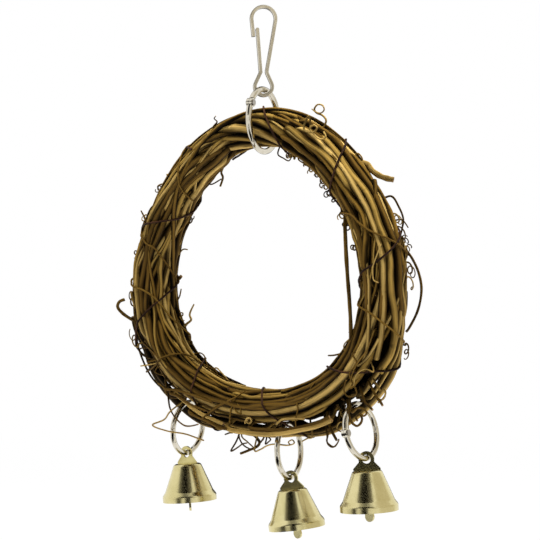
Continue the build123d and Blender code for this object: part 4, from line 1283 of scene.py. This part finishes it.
    def binding_wire(self) -> None:
        """Draw the binding wire tight round the bundle in open turns."""
        line = []
        count = round((self.wire_span[1] - self.wire_span[0]) / self.wire_step)
        for i in range(count + 1):
            theta = self.wire_span[0] + (self.wire_span[1] - self.wire_span[0]) * i / count
            alpha = self.wire_turns * (theta - self.wire_phase)
            reach = self.reach(theta, alpha) + self.wire_radius
            line.append(self.lay.around(theta, alpha, reach))
        radii = [self.wire_radius * MM] * len(line)
        piece = tube("binding_coil", line, radii, sides=10, relief=0.02, seed=5)
        place_piece(piece, "binding_brown", (self.coat, self.coat), "binding_wire")

    def build(self) -> None:
        """Build every piece of the wreath."""
        self.finishes()
        self.vines()
        self.fillers()
        self.binding_wire()
        self.shoots()
        self.tendrils()


@dataclass
class Hardware:
    """The hook, rings, rivets and bells, which keep their solids' shapes."""

    nickel: MetalFinish = MetalFinish(
        "nickel_plate", rgb(0.88, 0.855, 0.79), rgb(0.72, 0.68, 0.59), 0.12, (260.0, 260.0, 900.0),
    )
    rivet: MetalFinish = MetalFinish(
        "rivet_nickel", rgb(0.70, 0.68, 0.64), rgb(0.45, 0.42, 0.38), 0.26, (900.0, 900.0, 900.0),
    )
    brass: MetalFinish = MetalFinish(
        "pale_brass", rgb(0.885, 0.84, 0.63), rgb(0.80, 0.75, 0.51), 0.17, (60.0, 60.0, 3200.0),
    )
    hanger: MetalFinish = MetalFinish(
        "hanger_brass", rgb(0.82, 0.775, 0.54), rgb(0.62, 0.56, 0.33), 0.18, (700.0, 700.0, 700.0),
    )

    def dress(self) -> None:
        """Give every metal node its finish."""
        made = {"nickel": self.nickel.material(), "rivet": self.rivet.material(),
                "brass": self.brass.material(), "hanger": self.hanger.material()}
        for name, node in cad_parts.items():
            if name.startswith("hook"):
                key = "nickel"
            elif name.endswith("_rivet"):
                key = "rivet"
            elif name.endswith(("ring_upper", "ring_lower")):
                key = "nickel"
            elif name.endswith("_hanger"):
                key = "hanger"
            elif "_bell_" in name:
                key = "brass"
            else:
                continue
            node.data.materials.clear()
            node.data.materials.append(made[key])
            LOG.info("%s: %s", name, key)


@dataclass
class Studio:
    """Plain pale studio: floor, soft light and the photograph's view."""

    centre: tuple[float, float, float] = (0.0, 0.0, VIEW.centre_z * MM)
    azimuth: float = VIEW.azimuth
    elevation: float = 0.0
    distance: float = VIEW.distance * MM
    focal_pixels: float = VIEW.focal_pixels
    floor_z: float = -0.275
    floor_half: float = 12.0
    floor_colour: Colour = (0.9, 0.9, 0.9, 1.0)
    shadow: float = 0.06
    shadow_reach: tuple[float, float] = (0.35, 0.9)
    ambient: float = 0.13
    photo_width: float = 540.0
    sensor_width: float = 36.0
    view_shift: float = 0.012
    view_range: tuple[float, float] = (0.01, 60.0)
    card_warmth: tuple[float, float] = (0.97, 0.9)

    def floor(self) -> None:
        """Lay the floor, white to the camera and reflections, with a faint shadow under the part."""
        shape = bmesh.new()
        bmesh.ops.create_grid(shape, x_segments=2, y_segments=2, size=self.floor_half)
        bmesh.ops.translate(shape, verts=shape.verts, vec=(0.0, 0.0, self.floor_z))
        floor = linked("floor", shape)
        graph = Graph("floor_white")
        seen = graph.ray("Is Camera Ray") + graph.ray("Is Glossy Ray")
        diffuse = graph.node("ShaderNodeBsdfDiffuse", None, {"Color": self.floor_colour})
        white = graph.node("ShaderNodeEmission", None, {"Color": WHITE, "Strength": 1.0})
        place = graph.node("ShaderNodeTexCoord", None, None, "Object")
        far = graph.node("ShaderNodeVectorMath", {"operation": "LENGTH"}, {0: place}, "Value")
        share = seen * (1.0 - self.shadow + self.shadow * far.band(*self.shadow_reach))
        mixed = graph.node("ShaderNodeMixShader", None, {0: share, 1: diffuse, 2: white})
        graph.node("ShaderNodeOutputMaterial", None, {"Surface": mixed})
        clad(floor, graph.owner)

    def world(self) -> None:
        """White to camera and reflections, softer as light."""
        graph = Graph("studio", bpy.data.worlds)
        bpy.context.scene.world = graph.owner
        seen = graph.ray("Is Camera Ray")
        for kind in ("Is Glossy Ray", "Is Transmission Ray"):
            seen = seen.larger(graph.ray(kind))
        soft = graph.node("ShaderNodeBackground", None, {"Color": WHITE, "Strength": self.ambient})
        white = graph.node("ShaderNodeBackground", None, {"Color": WHITE, "Strength": 1.0})
        mixed = graph.node("ShaderNodeMixShader", None, {0: seen, 1: soft, 2: white})
        graph.node("ShaderNodeOutputWorld", None, {"Surface": mixed})

    def away(self, azimuth: float, elevation: float, distance: float) -> Vector:
        """Place seen from the centre in a direction."""
        a, e = math.radians(azimuth), math.radians(elevation)
        direction = Vector((math.sin(a) * math.cos(e), -math.cos(a) * math.cos(e), math.sin(e)))
        return Vector(self.centre) + direction * distance

    def hang(self, name: str, data: bpy.types.ID, azimuth: float, elevation: float,
             distance: float) -> bpy.types.Object:
        """Hang a lamp or camera in a direction, looking at the centre."""
        hung = bpy.data.objects.new(name, data)
        hung.location = self.away(azimuth, elevation, distance)
        hung.rotation_euler = (Vector(self.centre) - hung.location).to_track_quat("-Z", "Y").to_euler()
        bpy.context.scene.collection.objects.link(hung)
        return hung

    def lamp(self, name: str, azimuth: float, elevation: float, distance: float, size: float,
             power: float) -> None:
        """Hang a soft square lamp that looks at the centre and that reflections don't show.

        Args:
            name: name of the lamp.
            azimuth: direction in degrees.
            elevation: height in degrees.
            distance: distance in metres.
            size: width in metres.
            power: power in watts.
        """
        data = bpy.data.lights.new(name, "AREA")
        data.size = size
        data.energy = power
        self.hang(name, data, azimuth, elevation, distance).visible_glossy = False

    def card(self, name: str, place: Vector, faces: Vector, width: float, height: float, grey: float) -> None:
        """Set up a card, warm dark to pale grey, that only reflections show.

        Args:
            name: name of the card.
            place: its middle in metres.
            faces: direction that it faces.
            width: width in metres.
            height: height in metres.
            grey: display grey of the card.
        """
        turn = faces.to_track_quat("Z", "Y").to_matrix().to_4x4()
        shape = bmesh.new()
        bmesh.ops.create_grid(shape, x_segments=1, y_segments=1, size=0.5)
        sized = Matrix.Translation(place) @ turn @ Matrix.Diagonal((width, height, 1.0, 1.0))
        bmesh.ops.transform(shape, verts=shape.verts, matrix=sized)
        card = linked(name, shape)
        graph = Graph(name)
        warm = rgb(grey, *(grey * share for share in self.card_warmth))
        glow = graph.node("ShaderNodeEmission", None, {"Color": warm, "Strength": 1.0})
        graph.node("ShaderNodeOutputMaterial", None, {"Surface": glow})
        clad(card, graph.owner)
        card.visible_camera = False
        card.visible_diffuse = False
        card.visible_shadow = False

    def cards(self) -> None:
        """Set up the cards that give the metal its darker bands."""
        for name, azimuth, distance, lift, width, height, grey in (
            ("dark_front", 12.0, 2.20, 2.95, 1.60, 4.60, 0.02),
            ("dim_front", 16.0, 2.30, 3.00, 3.80, 4.60, 0.34),
            ("grey_right", 112.0, 0.66, 0.0, 1.00, 2.80, 0.84),
            ("hook_high", 58.0, 1.20, 0.377, 0.50, 0.27, 0.90),
            ("hook_low", 58.0, 1.20, 0.125, 0.50, 0.23, 0.52),
            ("hook_edge", -124.0, 0.45, 0.10, 0.18, 0.24, 0.08),
            ("dark_back", 215.0, 0.62, 0.0, 0.50, 2.80, 0.06),
            ("dark_low", 26.9, 0.30, -0.098, 0.13, 0.18, 0.01),
            ("dim_low", -14.0, 0.274, -0.11, 0.10, 0.16, 0.28),
        ):
            level = self.away(azimuth, 0.0, distance)
            place = level + Vector((0.0, 0.0, lift))
            self.card(name, place, Vector(self.centre) - level, width, height, grey)
        low = self.away(20.0, 0.0, 0.20) + Vector((0.0, 0.0, -0.162))
        self.card("dark_floor", low, Vector((0.0, 0.0, 1.0)), width=0.40, height=0.24, grey=0.05)

    def camera(self) -> None:
        """Set the camera at the photograph's view."""
        data = bpy.data.cameras.new("view")
        data.sensor_width = self.sensor_width
        data.lens = self.sensor_width * self.focal_pixels / self.photo_width
        data.shift_x = self.view_shift
        data.clip_start, data.clip_end = self.view_range
        bpy.context.scene.camera = self.hang("view", data, self.azimuth, self.elevation, self.distance)

    def build(self) -> None:
        """Set up the studio."""
        bpy.context.scene.view_settings.view_transform = "Standard"
        self.floor()
        self.world()
        self.lamp("key", azimuth=70.0, elevation=80.0, distance=0.95, size=0.40, power=22.0)
        self.lamp("fill", azimuth=10.0, elevation=35.0, distance=1.1, size=0.6, power=0.7)
        self.cards()
        self.camera()


def main() -> None:
    """Build the wreath, dress the hardware and set up the studio."""
    logging.basicConfig(level=logging.INFO, format="%(name)s %(message)s")
    Wreath().build()
    Hardware().dress()
    Studio().build()


if __name__ == "__main__":
    main()
